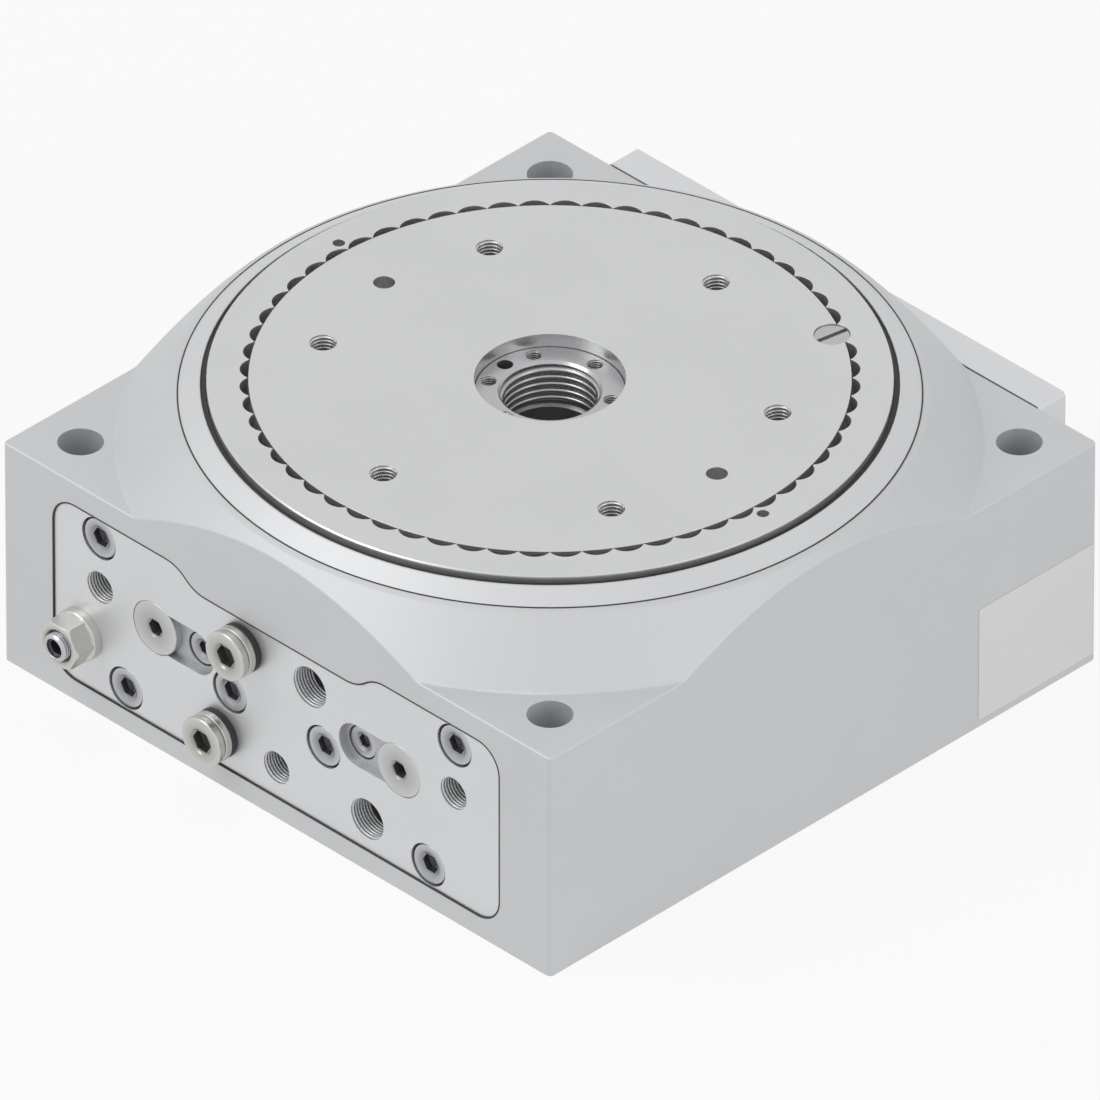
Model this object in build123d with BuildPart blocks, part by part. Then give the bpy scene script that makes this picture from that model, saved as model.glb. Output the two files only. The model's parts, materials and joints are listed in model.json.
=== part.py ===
from build123d import *
from math import acos, asin, atan2, ceil, cos, degrees, pi, radians, sin, sqrt, tan
import os

# Rotary indexing table. Two air-driven racks turn a pinion on a fixed hollow column.
# A drive pin in the pinion's drum carries the index ring and the table round by one
# step, and a lock bolt in the housing holds the table while the racks go back.
# Origin on the table's axis at the mounting face, +Z up, connection face at -Y.

os.makedirs("parts", exist_ok=True)

# Driving dimensions in millimetres: the table and its collar
table_r = 124.2
table_gap = 2.3
collar_width = 8.1
collar_clear = 0.1
rim_width = 2.5
rim_rise = 1.0
cone_run = 20.1
cone_rise = 20.9
side_wall = 5.3
collar_rise = 4.2
collar_lip = 3.5
collar_edge = 0.6
table_reveal = 6.5
table_edge = 0.5
seal_drop = 1.0
seal_lip_clear = 0.2
seal_back_gap = 0.5
seal_lip_depth = 1.5

# The housing
cylinder_floor = 30.0
body_edge_round = 2.0
top_edge_round = 0.8
cone_foot_round = 1.5
mount_hole_d = 17.0
mount_hole_margin = 20.0
cavity_depth = 18.0
bearing_seat_drop = 1.0
web_thickness = 4.0
front_wall = 10.0
base_recess_r = 78.0
base_recess_depth = 11.0
flange_screw_count = 6

# The plate in the table, its ring and the key screw between them
ring_width = 15.2
plate_clear = 0.2
table_ledge = 4.5
flange_clear = 2.5
scallop_count = 60
key_r = 6.7
key_inset = 3.4
key_depth = 8.4
key_clear = 0.2
key_angle = 60.0
key_slot_angle = 80.0
key_slot_width = 2.0
key_slot_depth = 2.2
thread_hole_r = 5.0
thread_hole_circle_r = 85.0
thread_hole_count = 6
locating_hole_r = 4.0
locating_hole_depth = 9.0
spanner_hole_r = 2.3
spanner_hole_inset = 9.7
spanner_hole_angle = -3.0
spanner_hole_depth = 6.0

# The fixed hollow column
column_r = 27.2
column_top_drop = 5.6
column_gap = 0.3
column_bore_r = 17.0
column_thread_r = 18.0
column_thread_depth = 19.0
column_thread_lead = 1.0
column_flange_r = 44.0
column_flange_height = 7.0
column_hole_r = 3.0
column_hole_circle_r = 23.0
column_hole_depth = 12.0
column_hole_count = 6

# The crossed-roller bearing
bearing_height = 14.0
bearing_gap = 1.0
race_inset = 7.5
outer_race_wall = 13.3
inner_race_wall = 20.7
race_side = 8.0
roller_clear = 0.1
roller_count = 24
bearing_lift = 0.5
collar_bore_clear = 0.8
table_screw_count = 8
table_screw_grip = 8.0
table_screw_end_gap = 0.5

# The index ring and the driver
notch_count = 24
notch_depth = 6.5
index_inset = 4.7
index_width = 34.0
index_thickness = 15.5
cavity_clear = 2.0
outer_notch_half = 5.2
inner_notch_half = 4.3
notch_taper = 0.23
drum_gap = 2.0
drum_height = 14.0
drum_lift = 1.0
drum_pin_r = 5.0
drum_pin_length = 22.0
drum_pin_stroke = 8.0
drum_bore_depth = 32.0
pin_rest_inset = 0.6
pin_spring = {"radius": 3.8, "wire": 0.7, "turns": 3}
nose_clear = 0.25
nose_length = 7.0
bolt_r = 6.4
bolt_length = 19.0
bolt_stroke = 6.0
bolt_rest_gap = 0.6
bolt_spring = {"radius": 4.8, "wire": 0.9, "turns": 2.5}
sleeve_wall = 1.5
bush_wall = 2.8
bush_length = 24.0
running_clear = 0.05
thrust_washer_height = 2.0
washer_lap = 1.0
washer_margin = 2.0
hub_end_clear = 0.2
hub_neck_r = 42.0
clip_thickness = 1.75
clip_width = 5.0
clip_groove = 1.7
clip_gap = 0.3

# The gear and the racks
gear_module = 3.0
pinion_teeth = 32
pressure_angle = 20.0
dedendum_factor = 1.25
backlash = 0.3
pinion_width = 26.0
pinion_clear = 1.0
drive_angle = 90.0
rack_axis_offset = 14.5
cylinder_r = 22.0
piston_clear = 0.07
piston_head = 11.0
seal_width = 4.0
seal_depth = 3.0
rack_end_clear = 0.2
rack_flat_margin = 0.4

# Covers and gaskets
gasket_thickness = 1.0
base_cover_thickness = 9.5
cover_clear = 0.25
connection_clear = 0.45
rear_cover_thickness = 13.5
rear_gasket_thickness = 0.5
rear_cover_side_margin = 30.0
rear_cover_bottom = 8.0
rear_cover_round = 2.0
rear_gasket_margin = 0.5
rear_screw_margin = 12.0
rear_screw_gap = 10.5
connection_plate_thickness = 10.5
connection_recess = 0.5
connection_side_margin = 26.0
connection_drop = 43.0
connection_top_margin = 10.0
connection_dip = 7.5
connection_dip_half = 36.0
connection_dip_run = 20.0
connection_round = 11.0

# Where the holes of the connection plate stand, from its sides, its bottom or the cylinders
upper_screw_inset = 23.0
upper_screw_drop = 8.7
lower_screw_inset = 36.5
lower_screw_rise = 8.8
middle_screw_inset = 17.0
middle_screw_drop = 9.0
side_port_inset = 23.5
side_port_rise = 4.0
middle_port_rise = 12.8
upper_air_port_x = 17.2
upper_air_port_rise = 14.0
lower_air_port_x = 46.4
lower_air_port_rise = 13.4
upper_plug_rise = 14.6
lower_plug_x = 29.6
lower_plug_rise = 13.6
throttle_inset = 14.0
throttle_drop = 20.7

# Ports, plugs and adjusters on the connection plate
small_port_r = 6.58
large_port_r = 8.33
passage_r = 3.0
passage_depth = 6.0
plug_head_r = 9.4
plug_flange_r = 9.9
plug_head_height = 2.8
plug_flange_height = 2.7
plug_seal_height = 3.0
plug_chamfer = 0.6
plug_hex = 8.0
plug_hex_depth = 4.5
plug_stem_clear = 0.05
plug_stem_gap = 1.0
stop_screw_r = 11.0
stop_screw_hex = 6.0
stop_screw_hex_depth = 5.0
slot_width = 18.0
slot_depth = 3.0
clamp_spacing = 21.5
clamp_end_gap = 3.0
throttle_r = 5.5
throttle_reach = 14.0
throttle_depth = 20.0
throttle_hex = 6.0
throttle_hex_depth = 7.0
nut_hex = 17.0
nut_height = 7.0
nut_flange_r = 9.7
nut_flange_height = 2.5
nut_cone_angle = 30.0
absorber_r = 9.0
absorber_tip_r = 3.5
absorber_tip_length = 6.0
absorber_hex = 6.0
absorber_hex_depth = 5.0

# Screws: shank radius, head radius, head height and hexagon across flats
m6 = {"shank": 3.0, "head": 5.0, "height": 6.0, "hex": 5.0}
m8 = {"shank": 4.0, "head": 6.5, "height": 8.0, "hex": 6.0}
m8_low = {"shank": 4.0, "head": 6.5, "height": 5.0, "hex": 5.0}
m10_low = {"shank": 5.0, "head": 8.0, "height": 6.0, "hex": 7.0}
screw_clear = 0.7
hole_clear = 0.4
thread_clear = 0.05
head_sink = 0.5
hex_depth_share = 0.6
head_chamfer = 0.8
screw_end_gap = 1.0
thread_hole_ratio = 2.0
thread_screw_ratio = 1.5
cut_over = 1.0
edge_tolerance = 0.1

# Worked out: radii of the table's collar and of the square body
collar_inner_r = table_r + table_gap
collar_outer_r = collar_inner_r + collar_width
rim_r = collar_outer_r + collar_clear
cone_top_r = rim_r + rim_width
cone_foot_r = cone_top_r + cone_run

# Worked out: the gear, the racks and their travel
pitch_r = gear_module * pinion_teeth / 2
tip_r = pitch_r + gear_module
root_r = pitch_r - dedendum_factor * gear_module
tooth_pitch = pi * gear_module
tooth_half = (tooth_pitch - backlash) / 4
cylinder_x = pitch_r + rack_axis_offset
rack_stroke = pitch_r * radians(drive_angle)
window_half = sqrt(tip_r**2 - (cylinder_x - cylinder_r)**2)
rack_flat_half = rack_stroke / 2 + window_half + rack_flat_margin
rack_half = rack_flat_half + piston_head
rack_reach = rack_half + rack_stroke / 2

# The body is as wide as the collar or the travel of the racks needs
pocket_depth = connection_recess + connection_plate_thickness + gasket_thickness
drive_half = rack_reach + rack_end_clear + front_wall + pocket_depth
body_half = max(rim_r + side_wall, drive_half)
body_width = 2 * body_half
mount_pitch = body_width - 2 * mount_hole_margin

# Worked out: the bearing, the index ring and the plate inside the table
race_r = table_r - race_inset
bearing_outer_r = race_r + outer_race_wall
bearing_inner_r = race_r - inner_race_wall
index_outer_r = race_r - index_inset
index_inner_r = index_outer_r - index_width
plate_r = table_r - ring_width
spanner_hole_circle_r = table_r - spanner_hole_inset

# Worked out: heights from the mounting face up
body_height = cylinder_floor + 2 * cylinder_r + web_thickness + cavity_depth
cone_top_z = body_height + cone_rise
rim_z = cone_top_z + rim_rise
collar_top_z = rim_z + collar_rise
table_top_z = rim_z + table_reveal
bearing_seat_z = body_height - bearing_seat_drop
collar_seat_z = bearing_seat_z + bearing_height
race_z = bearing_seat_z + bearing_height / 2
lip_top_z = collar_seat_z + collar_lip
bearing_top_z = collar_seat_z + bearing_lift
plate_bottom_z = bearing_top_z + table_ledge
cavity_floor_z = body_height - cavity_depth
cavity_r = index_outer_r + cavity_clear
cylinder_z = cavity_floor_z - web_thickness - cylinder_r
index_top_z = bearing_seat_z + bearing_lift
index_bottom_z = index_top_z - index_thickness
drum_bottom_z = cavity_floor_z + drum_lift
drum_top_z = drum_bottom_z + drum_height
pin_z = (drum_bottom_z + drum_top_z) / 2
drum_r = index_inner_r - drum_gap
hub_bore_r = column_r + bush_wall
base_top_z = base_recess_depth - gasket_thickness
base_bottom_z = base_top_z - base_cover_thickness
flange_top_z = base_top_z + column_flange_height
hub_bottom_z = flange_top_z + thrust_washer_height + hub_end_clear
column_top_z = table_top_z - column_top_drop
pinion_bottom_z = cylinder_z - pinion_width / 2
pinion_top_z = cylinder_z + pinion_width / 2
well_r = tip_r + pinion_clear
rear_cover_half = body_half - rear_cover_side_margin
connection_bottom = cylinder_z - connection_drop

# Worked out: places along Y on the connection face and the rear face
plate_front = body_half - connection_recess
plate_back = plate_front - connection_plate_thickness
pocket_floor = plate_back - gasket_thickness
cylinder_front = pocket_floor - front_wall
rear_inner = body_half + rear_gasket_thickness
rear_outer = rear_inner + rear_cover_thickness


def front_plane(reach):
    """Plane that faces -Y at this distance in front of the table's axis."""
    return Plane.XZ.offset(reach)


def level(height):
    """Horizontal plane at this height."""
    return Plane.XY.offset(height)


def polar(radius, angle):
    """Point on a circle about the table's axis, at an angle in degrees."""
    return (radius * cos(radians(angle)), radius * sin(radians(angle)))


def across_flats(size):
    """Corner radius of a hexagon that measures this much across its flats."""
    return size / 2 / cos(pi / 6)


def revolved(points):
    """Ring or disc turned about the table's axis from points of radius and height."""
    with BuildPart() as ring:
        with BuildSketch(Plane.XZ):
            with BuildLine():
                Polyline(*points, close=True)
            make_face()
        revolve(axis=Axis.Z)
    return ring


def on_cone_foot(edge):
    """Whether this edge of the block lies where the cone meets the corner flats."""
    middle = edge @ 0.5
    at_foot = abs(sqrt(middle.X**2 + middle.Y**2) - cone_foot_r) < edge_tolerance
    return at_foot and abs(middle.Z - body_height) < edge_tolerance


def on_upper_side(edge):
    """Whether this edge runs along the top of one of the block's side faces."""
    middle = edge @ 0.5
    on_side = max(abs(middle.X), abs(middle.Y)) > body_half - body_edge_round - edge_tolerance
    return on_side and edge.bounding_box().min.Z > body_height - edge_tolerance


def cap_screws(seat, spots, size, length):
    """Socket-head screws whose heads stand on the plane at the spots."""
    with BuildPart() as screws:
        with BuildSketch(seat):
            with Locations(*spots):
                Circle(size["head"])
        extrude(amount=size["height"])
        rims = screws.faces().filter_by(GeomType.PLANE).group_by(Axis(seat.origin, seat.z_dir))[-1]
        chamfer(rims.edges(), length=head_chamfer)
        with BuildSketch(seat):
            with Locations(*spots):
                Circle(size["shank"])
        extrude(amount=-length)
        with BuildSketch(seat.offset(size["height"])):
            with Locations(*spots):
                RegularPolygon(across_flats(size["hex"]), 6)
        extrude(amount=-size["height"] * hex_depth_share, mode=Mode.SUBTRACT)
    return screws


def nosed_pin(line, tip, radius, length, tip_half):
    """Round pin along the plane's X with a wedge nose that ends at tip."""
    shoulder_half = tip_half + nose_length * notch_taper
    with BuildPart() as pin:
        with BuildSketch(Plane(line.origin + line.x_dir * tip, z_dir=line.x_dir)):
            Circle(radius)
        extrude(amount=-length)
        with BuildSketch(line):
            for side in (1, -1):
                with BuildLine():
                    Polyline(
                        (tip, side * tip_half),
                        (tip - nose_length, side * shoulder_half),
                        (tip - nose_length, side * 2 * radius),
                        (tip, side * 2 * radius),
                        close=True,
                    )
                make_face()
        extrude(amount=2 * radius, both=True, mode=Mode.SUBTRACT)
    return pin


def coil_spring(line, start, end, size):
    """Helical compression spring along the plane's X from start to end."""
    wire_r = size["wire"]
    rise = end - start - 2 * wire_r
    centre = line.origin + line.x_dir * (start + wire_r)
    coil = Helix(rise / size["turns"], rise, size["radius"], center=centre, direction=line.x_dir)
    with BuildPart() as spring:
        with BuildSketch(Plane(coil @ 0, z_dir=coil % 0)):
            Circle(wire_r)
        sweep(path=coil, is_frenet=True)
    return spring


def tapered_notch(mouth, bottom, bottom_half):
    """Notch along +X that narrows from its open mouth to its bottom."""
    mouth_half = bottom_half + abs(mouth - bottom) * notch_taper
    with BuildSketch() as notch:
        with BuildLine():
            Polyline(
                (bottom, -bottom_half),
                (mouth, -mouth_half),
                (mouth, mouth_half),
                (bottom, bottom_half),
                close=True,
            )
        make_face()
    return notch.sketch


def connection_outline(grow):
    """Outline of the connection plate, with its dip at the middle of the top edge."""
    half = body_half - connection_side_margin + grow
    bottom = connection_bottom - grow
    top = body_height - connection_top_margin + grow
    dip = top - connection_dip
    corner = connection_round + grow
    outer = connection_dip_half + connection_dip_run
    middle = (connection_dip_half + outer) / 2
    with BuildSketch() as outline:
        with BuildLine():
            Line((-half + corner, bottom), (half - corner, bottom))
            RadiusArc((half - corner, bottom), (half, bottom + corner), -corner)
            Line((half, bottom + corner), (half, top - corner))
            RadiusArc((half, top - corner), (half - corner, top), -corner)
            Line((half - corner, top), (outer, top))
            TangentArc((outer, top), (middle, (top + dip) / 2), tangent=(-1, 0))
            TangentArc((connection_dip_half, dip), (middle, (top + dip) / 2), tangent=(1, 0))
            Line((connection_dip_half, dip), (-connection_dip_half, dip))
            TangentArc((-connection_dip_half, dip), (-middle, (top + dip) / 2), tangent=(-1, 0))
            TangentArc((-outer, top), (-middle, (top + dip) / 2), tangent=(1, 0))
            Line((-outer, top), (-half + corner, top))
            RadiusArc((-half + corner, top), (-half, top - corner), -corner)
            Line((-half, top - corner), (-half, bottom + corner))
            RadiusArc((-half, bottom + corner), (-half + corner, bottom), -corner)
        make_face()
    return outline.sketch


# Spots on the connection face, as X and Z
plate_half = body_half - connection_side_margin
plate_top = body_height - connection_top_margin
cylinder_spots = [(-cylinder_x, cylinder_z), (cylinder_x, cylinder_z)]
clamp_x = cylinder_x - clamp_spacing
clamp_spots = [(-clamp_x, cylinder_z), (clamp_x, cylinder_z)]
connection_screw_spots = [
    (-plate_half + upper_screw_inset, plate_top - upper_screw_drop),
    (plate_half - upper_screw_inset, plate_top - upper_screw_drop),
    (-plate_half + lower_screw_inset, connection_bottom + lower_screw_rise),
    (plate_half - lower_screw_inset, connection_bottom + lower_screw_rise),
    (-clamp_x + middle_screw_inset, cylinder_z - middle_screw_drop),
    (clamp_x - middle_screw_inset, cylinder_z - middle_screw_drop),
]
small_port_spots = [
    (-plate_half + side_port_inset, cylinder_z + side_port_rise),
    (plate_half - side_port_inset, cylinder_z + side_port_rise),
    (0.0, connection_bottom + middle_port_rise),
]
large_port_spots = [
    (upper_air_port_x, cylinder_z + upper_air_port_rise),
    (lower_air_port_x, connection_bottom + lower_air_port_rise),
]
plug_spots = [
    (-upper_air_port_x, cylinder_z + upper_plug_rise),
    (-lower_plug_x, connection_bottom + lower_plug_rise),
]
throttle_spot = (-plate_half + throttle_inset, cylinder_z - throttle_drop)
passage_spots = small_port_spots + large_port_spots + plug_spots

# Spots on the rear face, the base and the table
rear_screw_spots = [
    (side * across, height)
    for side in (-1, 1)
    for across in (rear_cover_half - rear_screw_margin, cylinder_x - cylinder_r - rear_screw_gap)
    for height in (rear_cover_bottom + rear_screw_margin, body_height - rear_screw_margin)
]
base_screw_circle_r = (well_r + base_recess_r) / 2
column_screw_circle_r = (hub_bore_r + column_flange_r) / 2
table_screw_circle_r = (bearing_inner_r + race_r - race_side / sqrt(2)) / 2
table_screw_start = 180 / notch_count
flange_screw_angles = [360 / flange_screw_count * (step + 0.5) for step in range(flange_screw_count)]
base_screw_spots = [polar(base_screw_circle_r, angle) for angle in flange_screw_angles]
column_screw_spots = [polar(column_screw_circle_r, angle) for angle in flange_screw_angles]
table_screw_spots = [
    polar(table_screw_circle_r, table_screw_start + 360 / table_screw_count * step)
    for step in range(table_screw_count)
]
key_spot = polar(plate_r - key_inset, key_angle)

# The lock bolt lies along +Y behind the index ring, the drive pin along +X in the drum
bolt_line = Plane((0, 0, pin_z), x_dir=(0, -1, 0), z_dir=(0, 0, 1))
pin_line = Plane((0, 0, pin_z), x_dir=(1, 0, 0), z_dir=(0, 0, 1))
bolt_tip = -(index_outer_r + bolt_rest_gap)
bolt_tail = bolt_tip - bolt_length
sleeve_r = bolt_r + running_clear + sleeve_wall
outer_notch_bottom_half = outer_notch_half - notch_depth * notch_taper
inner_notch_bottom_half = inner_notch_half - notch_depth * notch_taper
bolt_sink = bolt_stroke - bolt_rest_gap
bolt_tip_half = outer_notch_half - bolt_sink * notch_taper - nose_clear
pin_tip = drum_r - pin_rest_inset
pin_sink = pin_tip + drum_pin_stroke - index_inner_r
pin_tip_half = inner_notch_half - pin_sink * notch_taper - nose_clear

pocket_outline = connection_outline(connection_clear)
plate_outline = connection_outline(0)

# Casting of the body: square block with a conical crown round the table
with BuildPart() as casting:
    with BuildSketch():
        RectangleRounded(body_width, body_width, body_edge_round)
    extrude(amount=rim_z)
    with BuildSketch(Plane.XZ):
        with BuildLine():
            Polyline(
                (0, 0),
                (2 * body_half, 0),
                (2 * body_half, body_height),
                (cone_foot_r, body_height),
                (cone_top_r, cone_top_z),
                (rim_r, rim_z),
                (0, rim_z),
                close=True,
            )
        make_face()
    revolve(axis=Axis.Z, mode=Mode.INTERSECT)
    # Small rounds at the cone's foot and along the upper outer edges
    fillet(casting.edges().filter_by(on_cone_foot), radius=cone_foot_round)
    fillet(casting.edges().filter_by(on_upper_side), radius=top_edge_round)
    # Stepped bore for the collar, the bearing, the index ring and the pinion
    for height, radius in (
        (collar_seat_z, rim_r),
        (bearing_seat_z, bearing_outer_r),
        (cavity_floor_z, cavity_r),
        (base_recess_depth, well_r),
    ):
        with BuildSketch(level(height)):
            Circle(radius)
        extrude(amount=rim_z - height, mode=Mode.SUBTRACT)
    with BuildSketch(level(0)):
        Circle(base_recess_r)
    extrude(amount=base_recess_depth, mode=Mode.SUBTRACT)
    # Four mounting holes through the corners
    with BuildSketch(level(0)):
        with GridLocations(mount_pitch, mount_pitch, 2, 2):
            Circle(mount_hole_d / 2)
    extrude(amount=body_height, mode=Mode.SUBTRACT)
    # Pocket for the connection plate
    with BuildSketch(front_plane(body_half)):
        add(pocket_outline)
    extrude(amount=-pocket_depth, mode=Mode.SUBTRACT)
    # Two cylinders bored from the rear, and the stop screws' holes in the front wall
    with BuildSketch(front_plane(-body_half)):
        with Locations(*cylinder_spots):
            Circle(cylinder_r)
    extrude(amount=body_half + cylinder_front, mode=Mode.SUBTRACT)
    with BuildSketch(front_plane(pocket_floor)):
        with Locations(*cylinder_spots):
            Circle(stop_screw_r + running_clear)
    extrude(amount=-front_wall, mode=Mode.SUBTRACT)
    # Threaded holes behind the connection plate, and the air passages
    with BuildSketch(front_plane(pocket_floor)):
        with Locations(*connection_screw_spots):
            Circle(m10_low["shank"] + thread_clear)
    extrude(amount=-front_wall - m10_low["shank"], mode=Mode.SUBTRACT)
    with BuildSketch(front_plane(pocket_floor)):
        with Locations(*clamp_spots):
            Circle(m8_low["shank"] + thread_clear)
        with Locations(*passage_spots):
            Circle(passage_r)
    extrude(amount=-front_wall + m8_low["shank"] / 2, mode=Mode.SUBTRACT)
    with BuildSketch(front_plane(pocket_floor)):
        with Locations(throttle_spot):
            Circle(throttle_r + running_clear)
    extrude(amount=-throttle_depth, mode=Mode.SUBTRACT)
    # Threaded holes for the rear cover and the base cover, and the lock bolt's bore
    with BuildSketch(front_plane(-body_half)):
        with Locations(*rear_screw_spots):
            Circle(m8["shank"] + thread_clear)
    extrude(amount=thread_hole_ratio * m8["height"], mode=Mode.SUBTRACT)
    with BuildSketch(level(base_recess_depth)):
        with Locations(*base_screw_spots):
            Circle(m6["shank"] + thread_clear)
    extrude(amount=thread_hole_ratio * m6["height"], mode=Mode.SUBTRACT)
    with BuildSketch(front_plane(-body_half)):
        with Locations((0, pin_z)):
            Circle(sleeve_r)
    extrude(amount=body_half - cavity_r + sleeve_wall, mode=Mode.SUBTRACT)

# The casting is stored in two: the housing, and the frame round the connection plate
with BuildPart() as housing:
    add(casting.part)
    split(bisect_by=front_plane(plate_back), keep=Keep.BOTTOM)
housing.part.label = "housing"
export_step(housing.part, "parts/housing.step")

with BuildPart() as front_frame:
    add(casting.part)
    split(bisect_by=front_plane(plate_back), keep=Keep.TOP)
front_frame.part.label = "front_frame"
export_step(front_frame.part, "parts/front_frame.step")

# Base cover, let into the underside, with its gasket and screws
with BuildPart() as base_cover:
    with BuildSketch(level(base_bottom_z)):
        Circle(base_recess_r - cover_clear)
        Circle(column_bore_r, mode=Mode.SUBTRACT)
    extrude(amount=base_cover_thickness)
    with BuildSketch(level(base_bottom_z)):
        with Locations(*base_screw_spots, *column_screw_spots):
            Circle(m6["shank"] + hole_clear)
    extrude(amount=base_cover_thickness, mode=Mode.SUBTRACT)
    with BuildSketch(level(base_bottom_z)):
        with Locations(*base_screw_spots, *column_screw_spots):
            Circle(m6["head"] + screw_clear)
    extrude(amount=m6["height"] + head_sink, mode=Mode.SUBTRACT)
base_cover.part.label = "base_cover"
export_step(base_cover.part, "parts/base_cover.step")

with BuildPart() as base_gasket:
    with BuildSketch(level(base_top_z)):
        Circle(base_recess_r - cover_clear)
        Circle(well_r, mode=Mode.SUBTRACT)
        with Locations(*base_screw_spots):
            Circle(m6["shank"] + hole_clear, mode=Mode.SUBTRACT)
    extrude(amount=gasket_thickness)
base_gasket.part.label = "base_gasket"
export_step(base_gasket.part, "parts/base_gasket.step")

base_seat = Plane((0, 0, base_bottom_z + m6["height"] + head_sink), z_dir=(0, 0, -1))
base_rest = base_cover_thickness - m6["height"] - head_sink
base_screw_length = base_rest + gasket_thickness + thread_screw_ratio * m6["height"]
base_cover_screws = cap_screws(
    base_seat, [(x, -y) for x, y in base_screw_spots], m6, base_screw_length
)
base_cover_screws.part.label = "base_cover_screws"
export_step(base_cover_screws.part, "parts/base_cover_screws.step")

column_screw_length = base_rest + column_flange_height - screw_end_gap
column_screws = cap_screws(
    base_seat, [(x, -y) for x, y in column_screw_spots], m6, column_screw_length
)
column_screws.part.label = "column_screws"
export_step(column_screws.part, "parts/column_screws.step")

# Rear cover, which closes the two cylinders, with its gasket, screws and shock absorbers
with BuildPart() as rear_cover:
    with BuildSketch(front_plane(-rear_inner)):
        with Locations((0, (rear_cover_bottom + body_height) / 2)):
            RectangleRounded(
                2 * rear_cover_half, body_height - rear_cover_bottom, rear_cover_round
            )
    extrude(amount=-rear_cover_thickness)
    with BuildSketch(front_plane(-rear_inner)):
        with Locations(*rear_screw_spots):
            Circle(m8["shank"] + hole_clear)
        with Locations(*cylinder_spots):
            Circle(absorber_r + thread_clear)
    extrude(amount=-rear_cover_thickness, mode=Mode.SUBTRACT)
    with BuildSketch(front_plane(-rear_outer)):
        with Locations(*rear_screw_spots):
            Circle(m8["head"] + screw_clear)
    extrude(amount=m8["height"] + head_sink, mode=Mode.SUBTRACT)
rear_cover.part.label = "rear_cover"
export_step(rear_cover.part, "parts/rear_cover.step")

with BuildPart() as rear_gasket:
    with BuildSketch(front_plane(-body_half)):
        with Locations((0, (rear_cover_bottom + body_height) / 2)):
            RectangleRounded(
                2 * (rear_cover_half - rear_gasket_margin),
                body_height - rear_cover_bottom - 2 * rear_gasket_margin,
                rear_cover_round,
            )
        with Locations(*rear_screw_spots):
            Circle(m8["shank"] + hole_clear, mode=Mode.SUBTRACT)
        with Locations(*cylinder_spots):
            Circle(cylinder_r, mode=Mode.SUBTRACT)
        with Locations((0, pin_z)):
            Circle(bolt_r, mode=Mode.SUBTRACT)
    extrude(amount=-rear_gasket_thickness)
rear_gasket.part.label = "rear_gasket"
export_step(rear_gasket.part, "parts/rear_gasket.step")

rear_seat_y = rear_outer - m8["height"] - head_sink
rear_seat = Plane((0, rear_seat_y, 0), x_dir=(-1, 0, 0), z_dir=(0, 1, 0))
rear_screw_grip = thread_hole_ratio * m8["height"] - screw_end_gap
rear_screw_length = rear_seat_y - body_half + rear_screw_grip
rear_cover_screws = cap_screws(
    rear_seat, [(-x, z) for x, z in rear_screw_spots], m8, rear_screw_length
)
rear_cover_screws.part.label = "rear_cover_screws"
export_step(rear_cover_screws.part, "parts/rear_cover_screws.step")

absorber_tip_y = rack_reach + rack_end_clear
with BuildPart() as shock_absorbers:
    with BuildSketch(front_plane(-absorber_tip_y)):
        with Locations(*cylinder_spots):
            Circle(absorber_tip_r)
    extrude(amount=-absorber_tip_length)
    with BuildSketch(front_plane(-absorber_tip_y - absorber_tip_length)):
        with Locations(*cylinder_spots):
            Circle(absorber_r)
    extrude(amount=-(rear_outer - head_sink - absorber_tip_y - absorber_tip_length))
    with BuildSketch(front_plane(-rear_outer + head_sink)):
        with Locations(*cylinder_spots):
            RegularPolygon(across_flats(absorber_hex), 6)
    extrude(amount=absorber_hex_depth, mode=Mode.SUBTRACT)
shock_absorbers.part.label = "shock_absorbers"
export_step(shock_absorbers.part, "parts/shock_absorbers.step")

# Connection plate in its pocket, with ports, counterbores and two long slots
with BuildPart() as connection_plate:
    with BuildSketch(front_plane(plate_back)):
        add(plate_outline)
        with Locations(*connection_screw_spots):
            Circle(m10_low["shank"] + hole_clear, mode=Mode.SUBTRACT)
        with Locations(*clamp_spots):
            Circle(m8_low["shank"] + hole_clear, mode=Mode.SUBTRACT)
        with Locations(*cylinder_spots):
            Circle(stop_screw_r + running_clear, mode=Mode.SUBTRACT)
        with Locations(*small_port_spots):
            Circle(small_port_r, mode=Mode.SUBTRACT)
        with Locations(*large_port_spots, *plug_spots):
            Circle(large_port_r, mode=Mode.SUBTRACT)
        with Locations(throttle_spot):
            Circle(throttle_r + running_clear, mode=Mode.SUBTRACT)
    extrude(amount=connection_plate_thickness)
    with BuildSketch(front_plane(plate_front)):
        with Locations(*connection_screw_spots):
            Circle(m10_low["head"] + screw_clear)
    extrude(amount=-m10_low["height"] - head_sink, mode=Mode.SUBTRACT)
    with BuildSketch(front_plane(plate_front)):
        for side in (-1, 1):
            with Locations((side * (cylinder_x + clamp_x) / 2, cylinder_z)):
                SlotCenterToCenter(clamp_spacing, slot_width)
    extrude(amount=-slot_depth, mode=Mode.SUBTRACT)
    with BuildSketch(front_plane(plate_front)):
        with Locations(*clamp_spots):
            Circle(m8_low["head"] + hole_clear)
    extrude(amount=-slot_depth - head_sink - m8_low["height"], mode=Mode.SUBTRACT)
connection_plate.part.label = "connection_plate"
export_step(connection_plate.part, "parts/connection_plate.step")

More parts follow.
